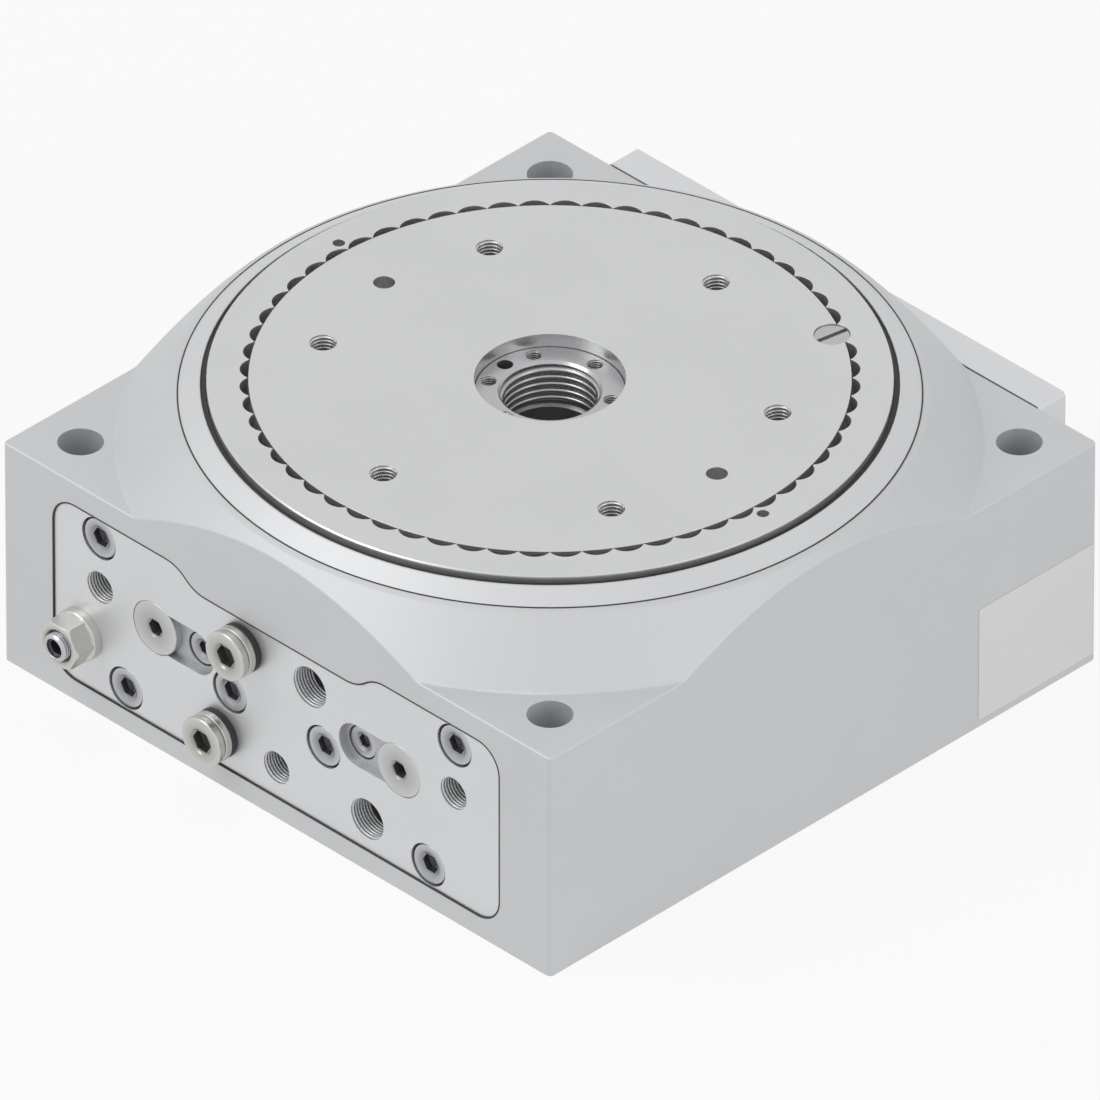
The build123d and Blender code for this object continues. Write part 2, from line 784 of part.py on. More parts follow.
with BuildPart() as connection_gasket:
    with BuildSketch(front_plane(pocket_floor)):
        add(plate_outline)
        with Locations(*connection_screw_spots):
            Circle(m10_low["shank"] + hole_clear, mode=Mode.SUBTRACT)
        with Locations(*clamp_spots):
            Circle(m8_low["shank"] + hole_clear, mode=Mode.SUBTRACT)
        with Locations(*cylinder_spots):
            Circle(stop_screw_r + hole_clear, mode=Mode.SUBTRACT)
        with Locations(*passage_spots):
            Circle(passage_r, mode=Mode.SUBTRACT)
        with Locations(throttle_spot):
            Circle(throttle_r + hole_clear, mode=Mode.SUBTRACT)
    extrude(amount=gasket_thickness)
connection_gasket.part.label = "connection_gasket"
export_step(connection_gasket.part, "parts/connection_gasket.step")

connection_seat = front_plane(plate_front - m10_low["height"] - head_sink)
connection_rest = connection_plate_thickness - m10_low["height"] - head_sink
connection_screw_grip = front_wall + m10_low["shank"] - screw_end_gap
connection_screw_length = connection_rest + gasket_thickness + connection_screw_grip
connection_screws = cap_screws(
    connection_seat, connection_screw_spots, m10_low, connection_screw_length
)
connection_screws.part.label = "connection_screws"
export_step(connection_screws.part, "parts/connection_screws.step")

clamp_seat = front_plane(plate_front - slot_depth - head_sink - m8_low["height"])
clamp_rest = connection_plate_thickness - slot_depth - head_sink - m8_low["height"]
clamp_screw_length = clamp_rest + gasket_thickness + front_wall - clamp_end_gap
stop_clamp_screws = cap_screws(clamp_seat, clamp_spots, m8_low, clamp_screw_length)
stop_clamp_screws.part.label = "stop_clamp_screws"
export_step(stop_clamp_screws.part, "parts/stop_clamp_screws.step")

# Two port plugs with stepped heads, and their seals
with BuildPart() as port_plugs:
    with BuildSketch(front_plane(plate_back + plug_stem_gap)):
        with Locations(*plug_spots):
            Circle(large_port_r - plug_stem_clear)
    extrude(amount=connection_plate_thickness - plug_stem_gap + plug_seal_height)
    with BuildSketch(front_plane(plate_front + plug_seal_height)):
        with Locations(*plug_spots):
            Circle(plug_flange_r)
    extrude(amount=plug_flange_height)
    with BuildSketch(front_plane(plate_front + plug_seal_height + plug_flange_height)):
        with Locations(*plug_spots):
            Circle(plug_head_r)
    extrude(amount=plug_head_height)
    plug_faces = port_plugs.faces().filter_by(GeomType.PLANE).sort_by(Axis.Y)[:2]
    chamfer(plug_faces.edges(), length=plug_chamfer)
    plug_front = plate_front + plug_seal_height + plug_flange_height + plug_head_height
    with BuildSketch(front_plane(plug_front)):
        with Locations(*plug_spots):
            RegularPolygon(across_flats(plug_hex), 6)
    extrude(amount=-plug_hex_depth, mode=Mode.SUBTRACT)
port_plugs.part.label = "port_plugs"
export_step(port_plugs.part, "parts/port_plugs.step")

with BuildPart() as port_plug_seals:
    with BuildSketch(front_plane(plate_front)):
        with Locations(*plug_spots):
            Circle(plug_head_r)
            Circle(large_port_r, mode=Mode.SUBTRACT)
    extrude(amount=plug_seal_height)
port_plug_seals.part.label = "port_plug_seals"
export_step(port_plug_seals.part, "parts/port_plug_seals.step")

# Stop screws that set the ends of the racks' travel
for name, spot in (("stop_screw_left", cylinder_spots[0]), ("stop_screw_right", cylinder_spots[1])):
    with BuildPart() as stop_screw:
        with BuildSketch(front_plane(cylinder_front + rack_end_clear)):
            with Locations(spot):
                Circle(stop_screw_r)
        extrude(amount=plate_front - cylinder_front - rack_end_clear)
        with BuildSketch(front_plane(plate_front)):
            with Locations(spot):
                RegularPolygon(across_flats(stop_screw_hex), 6)
        extrude(amount=-stop_screw_hex_depth, mode=Mode.SUBTRACT)
    stop_screw.part.label = name
    export_step(stop_screw.part, f"parts/{name}.step")

# Throttle screw and its lock nut
throttle_end = body_half + throttle_reach
with BuildPart() as throttle_screw:
    with BuildSketch(front_plane(pocket_floor - throttle_depth + screw_end_gap)):
        with Locations(throttle_spot):
            Circle(throttle_r)
    extrude(amount=throttle_end - pocket_floor + throttle_depth - screw_end_gap)
    throttle_face = throttle_screw.faces().sort_by(Axis.Y)[0]
    chamfer(throttle_face.edges(), length=plug_chamfer)
    with BuildSketch(front_plane(throttle_end)):
        with Locations(throttle_spot):
            RegularPolygon(across_flats(throttle_hex), 6)
    extrude(amount=-throttle_hex_depth, mode=Mode.SUBTRACT)
throttle_screw.part.label = "throttle_screw"
export_step(throttle_screw.part, "parts/throttle_screw.step")

nut_front = plate_front + nut_flange_height + nut_height
with BuildPart() as throttle_nut:
    with BuildSketch(front_plane(plate_front)):
        with Locations(throttle_spot):
            Circle(nut_flange_r)
    extrude(amount=nut_flange_height)
    with BuildSketch(front_plane(plate_front + nut_flange_height)):
        with Locations(throttle_spot):
            RegularPolygon(across_flats(nut_hex), 6)
    extrude(amount=nut_height)
    # Rounded corners of the nut's outer end
    cone_plane = Plane((throttle_spot[0], -nut_front, throttle_spot[1]), z_dir=(0, 1, 0))
    with BuildSketch(cone_plane):
        Circle(nut_hex / 2)
    extrude(amount=nut_flange_height + nut_height, taper=-nut_cone_angle, mode=Mode.INTERSECT)
    with BuildSketch(front_plane(plate_front)):
        with Locations(throttle_spot):
            Circle(throttle_r + running_clear)
    extrude(amount=nut_front - plate_front, mode=Mode.SUBTRACT)
throttle_nut.part.label = "throttle_nut"
export_step(throttle_nut.part, "parts/throttle_nut.step")

# Collar round the table, with a groove for the lip seal
collar_bore_r = race_r + bearing_gap / 2 + collar_bore_clear
seal_top_z = collar_top_z - seal_drop
seal_bottom_z = seal_top_z - seal_width
seal_groove_r = collar_inner_r + table_gap / 2
collar_ring = revolved(
    [
        (collar_bore_r, collar_seat_z),
        (collar_outer_r, collar_seat_z),
        (collar_outer_r, rim_z),
        (collar_inner_r + collar_edge, collar_top_z),
        (collar_inner_r, collar_top_z),
        (collar_inner_r, seal_top_z),
        (seal_groove_r, seal_top_z),
        (seal_groove_r, seal_bottom_z),
        (collar_inner_r, seal_bottom_z),
        (collar_inner_r, lip_top_z),
        (collar_bore_r, lip_top_z),
    ]
)
collar_ring.part.label = "collar_ring"
export_step(collar_ring.part, "parts/collar_ring.step")

seal_lip_r = table_r + seal_lip_clear
table_seal = revolved(
    [
        (seal_lip_r, seal_top_z),
        (seal_groove_r - thread_clear, seal_top_z),
        (seal_groove_r - thread_clear, seal_bottom_z),
        (collar_inner_r - seal_back_gap, seal_bottom_z),
        (collar_inner_r - seal_back_gap, seal_top_z - seal_lip_depth),
    ]
)
table_seal.part.label = "table_seal"
export_step(table_seal.part, "parts/table_seal.step")

# Crossed-roller bearing: two rings with vee races and a circle of tilted rollers
race_half = race_side / sqrt(2)
gap_half = bearing_gap / 2
race_mouth = race_half - gap_half
bearing_outer_ring = revolved(
    [
        (bearing_outer_r, bearing_seat_z),
        (bearing_outer_r, collar_seat_z),
        (race_r + gap_half, collar_seat_z),
        (race_r + gap_half, race_z + race_mouth),
        (race_r + race_half, race_z),
        (race_r + gap_half, race_z - race_mouth),
        (race_r + gap_half, bearing_seat_z),
    ]
)
bearing_outer_ring.part.label = "bearing_outer_ring"
export_step(bearing_outer_ring.part, "parts/bearing_outer_ring.step")

inner_profile = [
    (bearing_inner_r, index_top_z),
    (bearing_inner_r, bearing_top_z),
    (race_r - gap_half, bearing_top_z),
    (race_r - gap_half, race_z + race_mouth),
    (race_r - race_half, race_z),
    (race_r - gap_half, race_z - race_mouth),
    (race_r - gap_half, index_top_z),
]
with BuildPart() as bearing_inner_ring:
    with BuildSketch(Plane.XZ):
        with BuildLine():
            Polyline(*inner_profile, close=True)
        make_face()
    revolve(axis=Axis.Z)
    with BuildSketch(level(index_top_z)):
        with Locations(*table_screw_spots):
            Circle(m6["shank"] + hole_clear)
    extrude(amount=bearing_top_z - index_top_z, mode=Mode.SUBTRACT)
bearing_inner_ring.part.label = "bearing_inner_ring"
export_step(bearing_inner_ring.part, "parts/bearing_inner_ring.step")

roller_planes = []
for step in range(roller_count):
    angle = 360 / roller_count * step
    tilt = 45 if step % 2 else 135
    axis = (sin(radians(tilt)) * cos(radians(angle)), sin(radians(tilt)) * sin(radians(angle)))
    roller_planes.append(
        Plane((*polar(race_r, angle), race_z), z_dir=(*axis, cos(radians(tilt))))
    )
with BuildPart() as bearing_rollers:
    with BuildSketch(*roller_planes):
        Circle(race_side / 2 - roller_clear)
    extrude(amount=race_side / 2 - 2 * roller_clear, both=True)
bearing_rollers.part.label = "bearing_rollers"
export_step(bearing_rollers.part, "parts/bearing_rollers.step")

# Table ring: flange over the collar, scallops that the key screw can sit in
ring_step_r = race_r - gap_half
flange_bottom_z = lip_top_z + flange_clear
ring_bore_r = plate_r + plate_clear
with BuildPart() as table_ring:
    with BuildSketch(Plane.XZ):
        with BuildLine():
            Polyline(
                (bearing_inner_r, bearing_top_z),
                (ring_step_r, bearing_top_z),
                (ring_step_r, flange_bottom_z),
                (table_r, flange_bottom_z),
                (table_r, table_top_z - table_edge),
                (table_r - table_edge, table_top_z),
                (ring_bore_r, table_top_z),
                (ring_bore_r, plate_bottom_z),
                (bearing_inner_r, plate_bottom_z),
                close=True,
            )
        make_face()
    revolve(axis=Axis.Z)
    with BuildSketch(level(table_top_z)):
        with PolarLocations(plate_r - key_inset, scallop_count):
            Circle(key_r)
    extrude(amount=-key_depth, mode=Mode.SUBTRACT)
    with BuildSketch(level(table_top_z)):
        with PolarLocations(spanner_hole_circle_r, 2, start_angle=spanner_hole_angle):
            Circle(spanner_hole_r)
    extrude(amount=-spanner_hole_depth, mode=Mode.SUBTRACT)
    with BuildSketch(level(bearing_top_z)):
        with Locations(*table_screw_spots):
            Circle(m6["shank"] + hole_clear)
    extrude(amount=table_ledge, mode=Mode.SUBTRACT)
table_ring.part.label = "table_ring"
export_step(table_ring.part, "parts/table_ring.step")

# Table plate with its threaded holes, two locating holes and the seat of the key screw
plate_bore_r = column_r + column_gap
with BuildPart() as table_plate:
    with BuildSketch(level(plate_bottom_z)):
        Circle(plate_r)
        Circle(plate_bore_r, mode=Mode.SUBTRACT)
        with PolarLocations(thread_hole_circle_r, thread_hole_count, start_angle=180 / thread_hole_count):
            Circle(thread_hole_r, mode=Mode.SUBTRACT)
    extrude(amount=table_top_z - plate_bottom_z)
    with BuildSketch(level(table_top_z)):
        with PolarLocations(thread_hole_circle_r, 2):
            Circle(locating_hole_r)
    extrude(amount=-locating_hole_depth, mode=Mode.SUBTRACT)
    with BuildSketch(level(table_top_z)):
        with Locations(key_spot):
            Circle(key_r)
    extrude(amount=-key_depth, mode=Mode.SUBTRACT)
    with BuildSketch(level(plate_bottom_z)):
        with Locations(*table_screw_spots):
            Circle(m6["shank"] + thread_clear)
    extrude(amount=table_screw_grip, mode=Mode.SUBTRACT)
table_plate.part.label = "table_plate"
export_step(table_plate.part, "parts/table_plate.step")

with BuildPart() as table_key_screw:
    with BuildSketch(level(table_top_z - key_depth)):
        with Locations(key_spot):
            Circle(key_r - key_clear)
    extrude(amount=key_depth - head_sink)
    with BuildSketch(level(table_top_z - head_sink)):
        with Locations(Location(key_spot, key_slot_angle)):
            Rectangle(2 * key_r, key_slot_width)
    extrude(amount=-key_slot_depth, mode=Mode.SUBTRACT)
table_key_screw.part.label = "table_key_screw"
export_step(table_key_screw.part, "parts/table_key_screw.step")

# Index ring under the bearing, notched inside for the drive pin and outside for the bolt
outer_notch = tapered_notch(index_outer_r + cut_over, index_outer_r - notch_depth, outer_notch_bottom_half)
inner_notch = tapered_notch(index_inner_r - cut_over, index_inner_r + notch_depth, inner_notch_bottom_half)
with BuildPart() as index_ring:
    with BuildSketch(level(index_bottom_z)):
        Circle(index_outer_r)
        Circle(index_inner_r, mode=Mode.SUBTRACT)
        with PolarLocations(0, notch_count):
            add(outer_notch, mode=Mode.SUBTRACT)
            add(inner_notch, mode=Mode.SUBTRACT)
    extrude(amount=index_thickness)
    with BuildSketch(level(index_bottom_z)):
        with Locations(*table_screw_spots):
            Circle(m6["shank"] + hole_clear)
    extrude(amount=index_thickness, mode=Mode.SUBTRACT)
    with BuildSketch(level(index_bottom_z)):
        with Locations(*table_screw_spots):
            Circle(m6["head"] + hole_clear)
    extrude(amount=m6["height"] + head_sink, mode=Mode.SUBTRACT)
index_ring.part.label = "index_ring"
export_step(index_ring.part, "parts/index_ring.step")

table_seat = Plane((0, 0, index_bottom_z + m6["height"] + head_sink), z_dir=(0, 0, -1))
table_screw_top = plate_bottom_z + table_screw_grip - table_screw_end_gap
table_screws = cap_screws(
    table_seat,
    [(x, -y) for x, y in table_screw_spots],
    m6,
    table_screw_top - index_bottom_z - m6["height"] - head_sink,
)
table_screws.part.label = "table_screws"
export_step(table_screws.part, "parts/table_screws.step")

# Fixed hollow column with its flange, its threaded bore and the ring of small holes
clip_z = drum_top_z + clip_gap
with BuildPart() as centre_column:
    with BuildSketch(Plane.XZ):
        with BuildLine():
            Polyline(
                (column_bore_r, base_top_z),
                (column_flange_r, base_top_z),
                (column_flange_r, flange_top_z),
                (column_r, flange_top_z),
                (column_r, clip_z),
                (column_r - clip_groove, clip_z),
                (column_r - clip_groove, clip_z + clip_thickness),
                (column_r, clip_z + clip_thickness),
                (column_r, column_top_z),
                (column_thread_r + column_thread_lead, column_top_z),
                (column_thread_r, column_top_z - column_thread_lead),
                (column_thread_r, column_top_z - column_thread_depth),
                (column_bore_r, column_top_z - column_thread_depth),
                close=True,
            )
        make_face()
    revolve(axis=Axis.Z)
    with BuildSketch(level(column_top_z)):
        with PolarLocations(column_hole_circle_r, column_hole_count, start_angle=180 / column_hole_count):
            Circle(column_hole_r)
        with Locations((-column_hole_circle_r, 0)):
            Circle(column_hole_r)
    extrude(amount=-column_hole_depth, mode=Mode.SUBTRACT)
    with BuildSketch(level(base_top_z)):
        with Locations(*column_screw_spots):
            Circle(m6["shank"] + thread_clear)
    extrude(amount=column_flange_height, mode=Mode.SUBTRACT)
centre_column.part.label = "centre_column"
export_step(centre_column.part, "parts/centre_column.step")

thrust_washer_r = column_flange_r - washer_margin
thrust_washer = revolved(
    [
        (hub_bore_r - washer_lap, flange_top_z),
        (thrust_washer_r, flange_top_z),
        (thrust_washer_r, flange_top_z + thrust_washer_height),
        (hub_bore_r - washer_lap, flange_top_z + thrust_washer_height),
    ]
)
thrust_washer.part.label = "thrust_washer"
export_step(thrust_washer.part, "parts/thrust_washer.step")

with BuildPart() as driver_clip:
    with BuildSketch(level(clip_z)):
        Circle(column_r - clip_groove + clip_width)
        Circle(column_r - clip_groove + thread_clear, mode=Mode.SUBTRACT)
        with Locations((-column_r, 0)):
            Rectangle(2 * clip_width, clip_width, mode=Mode.SUBTRACT)
    extrude(amount=clip_thickness - thread_clear)
driver_clip.part.label = "driver_clip"
export_step(driver_clip.part, "parts/driver_clip.step")

# Pinion with involute teeth, in one piece with the hub and the drum of the drive pin
base_circle_r = pitch_r * cos(radians(pressure_angle))
pitch_involute = tan(radians(pressure_angle)) - radians(pressure_angle)
tooth_half_angle = tooth_half / pitch_r


def flank_point(radius):
    """Half angle of a pinion tooth at this radius, from the involute of its base circle."""
    if radius <= base_circle_r:
        return tooth_half_angle + pitch_involute
    pressure = acos(base_circle_r / radius)
    return tooth_half_angle + pitch_involute - (tan(pressure) - pressure)


flank_radii = [root_r, base_circle_r, (base_circle_r + pitch_r) / 2, pitch_r, tip_r]
pinion_points = []
for tooth in range(pinion_teeth):
    middle = 2 * pi / pinion_teeth * tooth
    for radius in flank_radii:
        angle = middle - flank_point(radius)
        pinion_points.append((radius * cos(angle), radius * sin(angle)))
    for radius in reversed(flank_radii):
        angle = middle + flank_point(radius)
        pinion_points.append((radius * cos(angle), radius * sin(angle)))

with BuildPart() as driver_hub:
    with BuildSketch(level(hub_bottom_z)):
        Circle(hub_neck_r)
    extrude(amount=pinion_bottom_z - hub_bottom_z)
    with BuildSketch(level(pinion_bottom_z)):
        with BuildLine():
            Polyline(*pinion_points, close=True)
        make_face()
    extrude(amount=pinion_width)
    with BuildSketch(level(pinion_top_z)):
        Circle(hub_neck_r)
    extrude(amount=drum_bottom_z - pinion_top_z)
    with BuildSketch(level(drum_bottom_z)):
        Circle(drum_r)
    extrude(amount=drum_height)
    with BuildSketch(level(hub_bottom_z)):
        Circle(hub_bore_r)
    extrude(amount=drum_top_z - hub_bottom_z, mode=Mode.SUBTRACT)
    with BuildSketch(Plane(pin_line.origin + pin_line.x_dir * drum_r, z_dir=pin_line.x_dir)):
        Circle(drum_pin_r + running_clear)
    extrude(amount=-drum_bore_depth, mode=Mode.SUBTRACT)
driver_hub.part.label = "driver_hub"
export_step(driver_hub.part, "parts/driver_hub.step")

with BuildPart() as driver_bushes:
    with BuildSketch(level(hub_bottom_z), level(drum_top_z - bush_length)):
        Circle(hub_bore_r)
        Circle(column_r + running_clear, mode=Mode.SUBTRACT)
    extrude(amount=bush_length)
driver_bushes.part.label = "driver_bushes"
export_step(driver_bushes.part, "parts/driver_bushes.step")

# Drive pin and lock bolt with wedge noses, each with its spring
drive_pin = nosed_pin(pin_line, pin_tip, drum_pin_r, drum_pin_length, pin_tip_half)
drive_pin.part.label = "drive_pin"
export_step(drive_pin.part, "parts/drive_pin.step")

pin_spring_start = drum_r - drum_bore_depth
pin_spring_end = pin_tip - drum_pin_length
drive_pin_spring = coil_spring(pin_line, pin_spring_start, pin_spring_end, pin_spring)
drive_pin_spring.part.label = "drive_pin_spring"
export_step(drive_pin_spring.part, "parts/drive_pin_spring.step")

lock_bolt = nosed_pin(bolt_line, bolt_tip, bolt_r, bolt_length, bolt_tip_half)
lock_bolt.part.label = "lock_bolt"
export_step(lock_bolt.part, "parts/lock_bolt.step")

lock_spring = coil_spring(bolt_line, -rear_inner, bolt_tail, bolt_spring)
lock_spring.part.label = "lock_spring"
export_step(lock_spring.part, "parts/lock_spring.step")

with BuildPart() as lock_sleeve:
    with BuildSketch(front_plane(-cavity_r)):
        with Locations((0, pin_z)):
            Circle(sleeve_r)
            Circle(bolt_r + running_clear, mode=Mode.SUBTRACT)
    extrude(amount=-(body_half - cavity_r))
    with BuildSketch(level(0)):
        Circle(cavity_r)
    extrude(amount=body_height, mode=Mode.SUBTRACT)
lock_sleeve.part.label = "lock_sleeve"
export_step(lock_sleeve.part, "parts/lock_sleeve.step")

# Racks: round bars with teeth on the pinion's side and a piston head at each end
tooth_count = 2 * int((rack_flat_half - tooth_pitch) / tooth_pitch)
tooth_slope = tan(radians(pressure_angle))
tip_half = tooth_half - gear_module * tooth_slope
foot_half = tooth_half + dedendum_factor * gear_module * tooth_slope
rack_tip_x = pitch_r - gear_module
rack_root_x = pitch_r + dedendum_factor * gear_module
groove_centre = rack_half - piston_head / 2
groove_r = cylinder_r - seal_depth

for name, side in (("left", -1), ("right", 1)):
    shift = -side * rack_stroke / 2
    flank = [(rack_root_x, -rack_flat_half)]
    for tooth in range(tooth_count):
        middle = (tooth - (tooth_count - 1) / 2) * tooth_pitch
        flank.append((rack_root_x, middle - foot_half))
        flank.append((rack_tip_x, middle - tip_half))
        flank.append((rack_tip_x, middle + tip_half))
        flank.append((rack_root_x, middle + foot_half))
    flank.append((rack_root_x, rack_flat_half))
    flank.append((cylinder_x - cylinder_r - cut_over, rack_flat_half))
    flank.append((cylinder_x - cylinder_r - cut_over, -rack_flat_half))
    with BuildPart() as rack:
        with BuildSketch(front_plane(-shift - rack_half)):
            with Locations((side * cylinder_x, cylinder_z)):
                Circle(cylinder_r - piston_clear)
        extrude(amount=2 * rack_half)
        with BuildSketch(level(cylinder_z)):
            with BuildLine():
                Polyline(*[(side * x, y + shift) for x, y in flank], close=True)
            make_face()
        extrude(amount=cylinder_r, both=True, mode=Mode.SUBTRACT)
        for end in (-1, 1):
            with BuildSketch(front_plane(-shift - end * groove_centre - seal_width / 2)):
                with Locations((side * cylinder_x, cylinder_z)):
                    Circle(cylinder_r)
                    Circle(groove_r, mode=Mode.SUBTRACT)
            extrude(amount=seal_width, mode=Mode.SUBTRACT)
    rack.part.label = f"rack_{name}"
    export_step(rack.part, f"parts/rack_{name}.step")
    with BuildPart() as piston_seals:
        for end in (-1, 1):
            with BuildSketch(front_plane(-shift - end * groove_centre - seal_width / 2)):
                with Locations((side * cylinder_x, cylinder_z)):
                    Circle(cylinder_r - running_clear)
                    Circle(groove_r + running_clear, mode=Mode.SUBTRACT)
            extrude(amount=seal_width)
    piston_seals.part.label = f"piston_seals_{name}"
    export_step(piston_seals.part, f"parts/piston_seals_{name}.step")
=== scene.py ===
"""Looks of the rotary indexing table: finishes, threads, bare label, studio and camera."""

from __future__ import annotations

import json
import logging
from dataclasses import dataclass
from enum import Enum
from math import asin, cos, degrees, pi, radians, sin

import bmesh
import bpy
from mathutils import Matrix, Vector


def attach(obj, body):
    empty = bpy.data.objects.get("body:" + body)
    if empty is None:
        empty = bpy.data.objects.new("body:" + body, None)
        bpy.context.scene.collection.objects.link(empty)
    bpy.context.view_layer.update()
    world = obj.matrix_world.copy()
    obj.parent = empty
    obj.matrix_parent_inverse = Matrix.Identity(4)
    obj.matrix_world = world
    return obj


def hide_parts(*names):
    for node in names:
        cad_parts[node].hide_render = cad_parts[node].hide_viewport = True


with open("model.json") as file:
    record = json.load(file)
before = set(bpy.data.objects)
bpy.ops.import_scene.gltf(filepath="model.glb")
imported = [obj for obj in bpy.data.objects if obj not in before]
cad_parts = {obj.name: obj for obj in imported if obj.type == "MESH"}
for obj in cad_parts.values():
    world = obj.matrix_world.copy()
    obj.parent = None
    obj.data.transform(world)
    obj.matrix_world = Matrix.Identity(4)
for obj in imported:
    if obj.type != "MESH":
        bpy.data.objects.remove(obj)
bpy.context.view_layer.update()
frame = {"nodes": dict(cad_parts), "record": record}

log = logging.getLogger("indexing_table")
MM = 0.001
LONG_MARK = 40.0
TRAVEL = "travel"
# Name of the point attribute that holds painted shade for sockets, grooves and bores.
SHADE_ATTRIBUTE = "shelter"
Colour = tuple[float, float, float]
Place = tuple[float, float, float]
Spot = tuple[float, float]
Settings = dict[str, object]
Inputs = dict[object, object]
WHITE = (1.0, 1.0, 1.0, 1.0)


def put(name: str, data: bpy.types.ID) -> bpy.types.Object:
    """Makes an object and links it to the scene.

    Args:
        name: Name of the object.
        data: Its mesh, camera or lamp.

    Returns:
        The object.
    """
    thing = bpy.data.objects.new(name, data)
    bpy.context.collection.objects.link(thing)
    return thing


class Signal:
    """One output of a shader node, with arithmetic that adds Math nodes to its tree."""

    def __init__(self, sheet: ShaderSheet, socket: bpy.types.NodeSocket) -> None:
        """Keeps the tree and the socket.

        Args:
            sheet: The tree that new Math nodes go into.
            socket: The output that this signal stands for.
        """
        self.sheet = sheet
        self.socket = socket

    def _math(self, operation: str, first: object, second: object) -> Signal:
        """Adds a Math node and returns its result.

        Args:
            operation: Blender's name of the operation.
            first: Left value or signal.
            second: Right value or signal.

        Returns:
            The result as a new signal.
        """
        inputs = {0: first, 1: second}
        return self.sheet.add("ShaderNodeMath", {"operation": operation}, inputs)

    def __add__(self, other: object) -> Signal:
        """Sum of this signal and a value."""
        return self._math("ADD", self, other)

    def __radd__(self, other: object) -> Signal:
        """Sum of a value and this signal."""
        return self._math("ADD", other, self)

    def __sub__(self, other: object) -> Signal:
        """Difference of this signal and a value."""
        return self._math("SUBTRACT", self, other)

    def __rsub__(self, other: object) -> Signal:
        """Difference of a value and this signal."""
        return self._math("SUBTRACT", other, self)

    def __mul__(self, other: object) -> Signal:
        """Product of this signal and a value."""
        return self._math("MULTIPLY", self, other)

    def __rmul__(self, other: object) -> Signal:
        """Product of a value and this signal."""
        return self._math("MULTIPLY", other, self)

    def __pow__(self, other: object) -> Signal:
        """Power of this signal."""
        return self._math("POWER", self, other)

    def clamped(self) -> Signal:
        """This signal kept between 0 and 1."""
        return self.sheet.add("ShaderNodeClamp", {}, {"Value": self})


class ShaderSheet:
    """The tree of a material or world, and the one method that adds nodes to it."""

    NOISE_ROUGHNESS = 0.55

    def __init__(self, owner: bpy.types.Material | bpy.types.World) -> None:
        """Empties the tree.

        Args:
            owner: The material or world that the tree belongs to.
        """
        self.owner = owner
        owner.use_nodes = True
        self.tree = owner.node_tree
        self.tree.nodes.clear()

    def add(
        self, kind: str, settings: Settings, inputs: Inputs, output: int | str = 0
    ) -> Signal:
        """Adds a node, sets it up and links it.

        Args:
            kind: Blender's type name of the node.
            settings: Properties of the node, set before its sockets.
            inputs: Values or signals by socket name or number.
            output: Name or number of the output that is returned.

        Returns:
            The chosen output as a signal.
        """
        node = self.tree.nodes.new(kind)
        for key, value in settings.items():
            setattr(node, key, value)
        for key, value in inputs.items():
            if isinstance(value, Signal):
                self.tree.links.new(value.socket, node.inputs[key])
            else:
                node.inputs[key].default_value = value
        return Signal(self, node.outputs[output])

    def place(self, stretch: Place = (1.0, 1.0, 1.0)) -> Signal:
        """Object coordinates, stretched.

        Args:
            stretch: Scale along X, Y and Z.

        Returns:
            The coordinates as a signal.
        """
        point = self.add("ShaderNodeTexCoord", {}, {}, "Object")
        settings = {"vector_type": "TEXTURE"}
        return self.add("ShaderNodeMapping", settings, {"Vector": point, "Scale": stretch})

    def along(self, axis: str) -> Signal:
        """One of the object coordinates, by its capital letter."""
        return self.add("ShaderNodeSeparateXYZ", {}, {0: self.place()}, axis)

    def stored(self, name: str) -> Signal:
        """A number that a mesh keeps at its points.

        Args:
            name: Name of the mesh's attribute.

        Returns:
            The number, or 0 on a mesh without that attribute.
        """
        return self.add("ShaderNodeAttribute", {"attribute_name": name}, {}, "Fac")

    def noise(self, point: Signal, scale: float, detail: float = 2.0) -> Signal:
        """Noise between 0 and 1.

        Args:
            point: Coordinates in metres.
            scale: How many features stand on a metre.
            detail: Octaves of finer noise.

        Returns:
            The noise as a signal.
        """
        inputs = {
            "Vector": point,
            "Scale": scale,
            "Detail": detail,
            "Roughness": self.NOISE_ROUGHNESS,
        }
        return self.add("ShaderNodeTexNoise", {}, inputs, 0)

    def mix(self, factor: Signal, low: Colour | Signal, high: Colour | Signal) -> Signal:
        """Mix of two colours.

        Args:
            factor: Share of the second colour.
            low: First colour.
            high: Second colour.

        Returns:
            The mixed colour as a signal.
        """
        low_value = low if isinstance(low, Signal) else (*low, 1.0)
        high_value = high if isinstance(high, Signal) else (*high, 1.0)
        inputs = {0: factor, 6: low_value, 7: high_value}
        return self.add("ShaderNodeMix", {"data_type": "RGBA"}, inputs, 2)

    def seen(self) -> Signal:
        """1 for rays from the camera, in gloss and through glass, and 0 for all others."""
        camera = self.add("ShaderNodeLightPath", {}, {}, "Is Camera Ray")
        rays = camera.socket.node.outputs
        glossy = Signal(self, rays["Is Glossy Ray"])
        through = Signal(self, rays["Is Transmission Ray"])
        return (camera + glossy + through).clamped()

    def finish(self, surface: Signal) -> bpy.types.Material | bpy.types.World:
        """Ends the tree.

        Args:
            surface: The shader that goes to the output.

        Returns:
            The finished material or world.
        """
        is_world = isinstance(self.owner, bpy.types.World)
        kind = "ShaderNodeOutputWorld" if is_world else "ShaderNodeOutputMaterial"
        node = self.tree.nodes.new(kind)
        self.tree.links.new(surface.socket, node.inputs["Surface"])
        return self.owner


class Lay(Enum):
    """The direction in which a tool left its marks."""

    BLASTED = "blasted"
    MILLED_X = "milled along X"
    MILLED_Y = "milled along Y"
    MILLED_Z = "milled along Z"
    TURNED = "turned about the table's axis"
    LATHED = "turned about the piece's own axis"
    PLAIN = "plain"


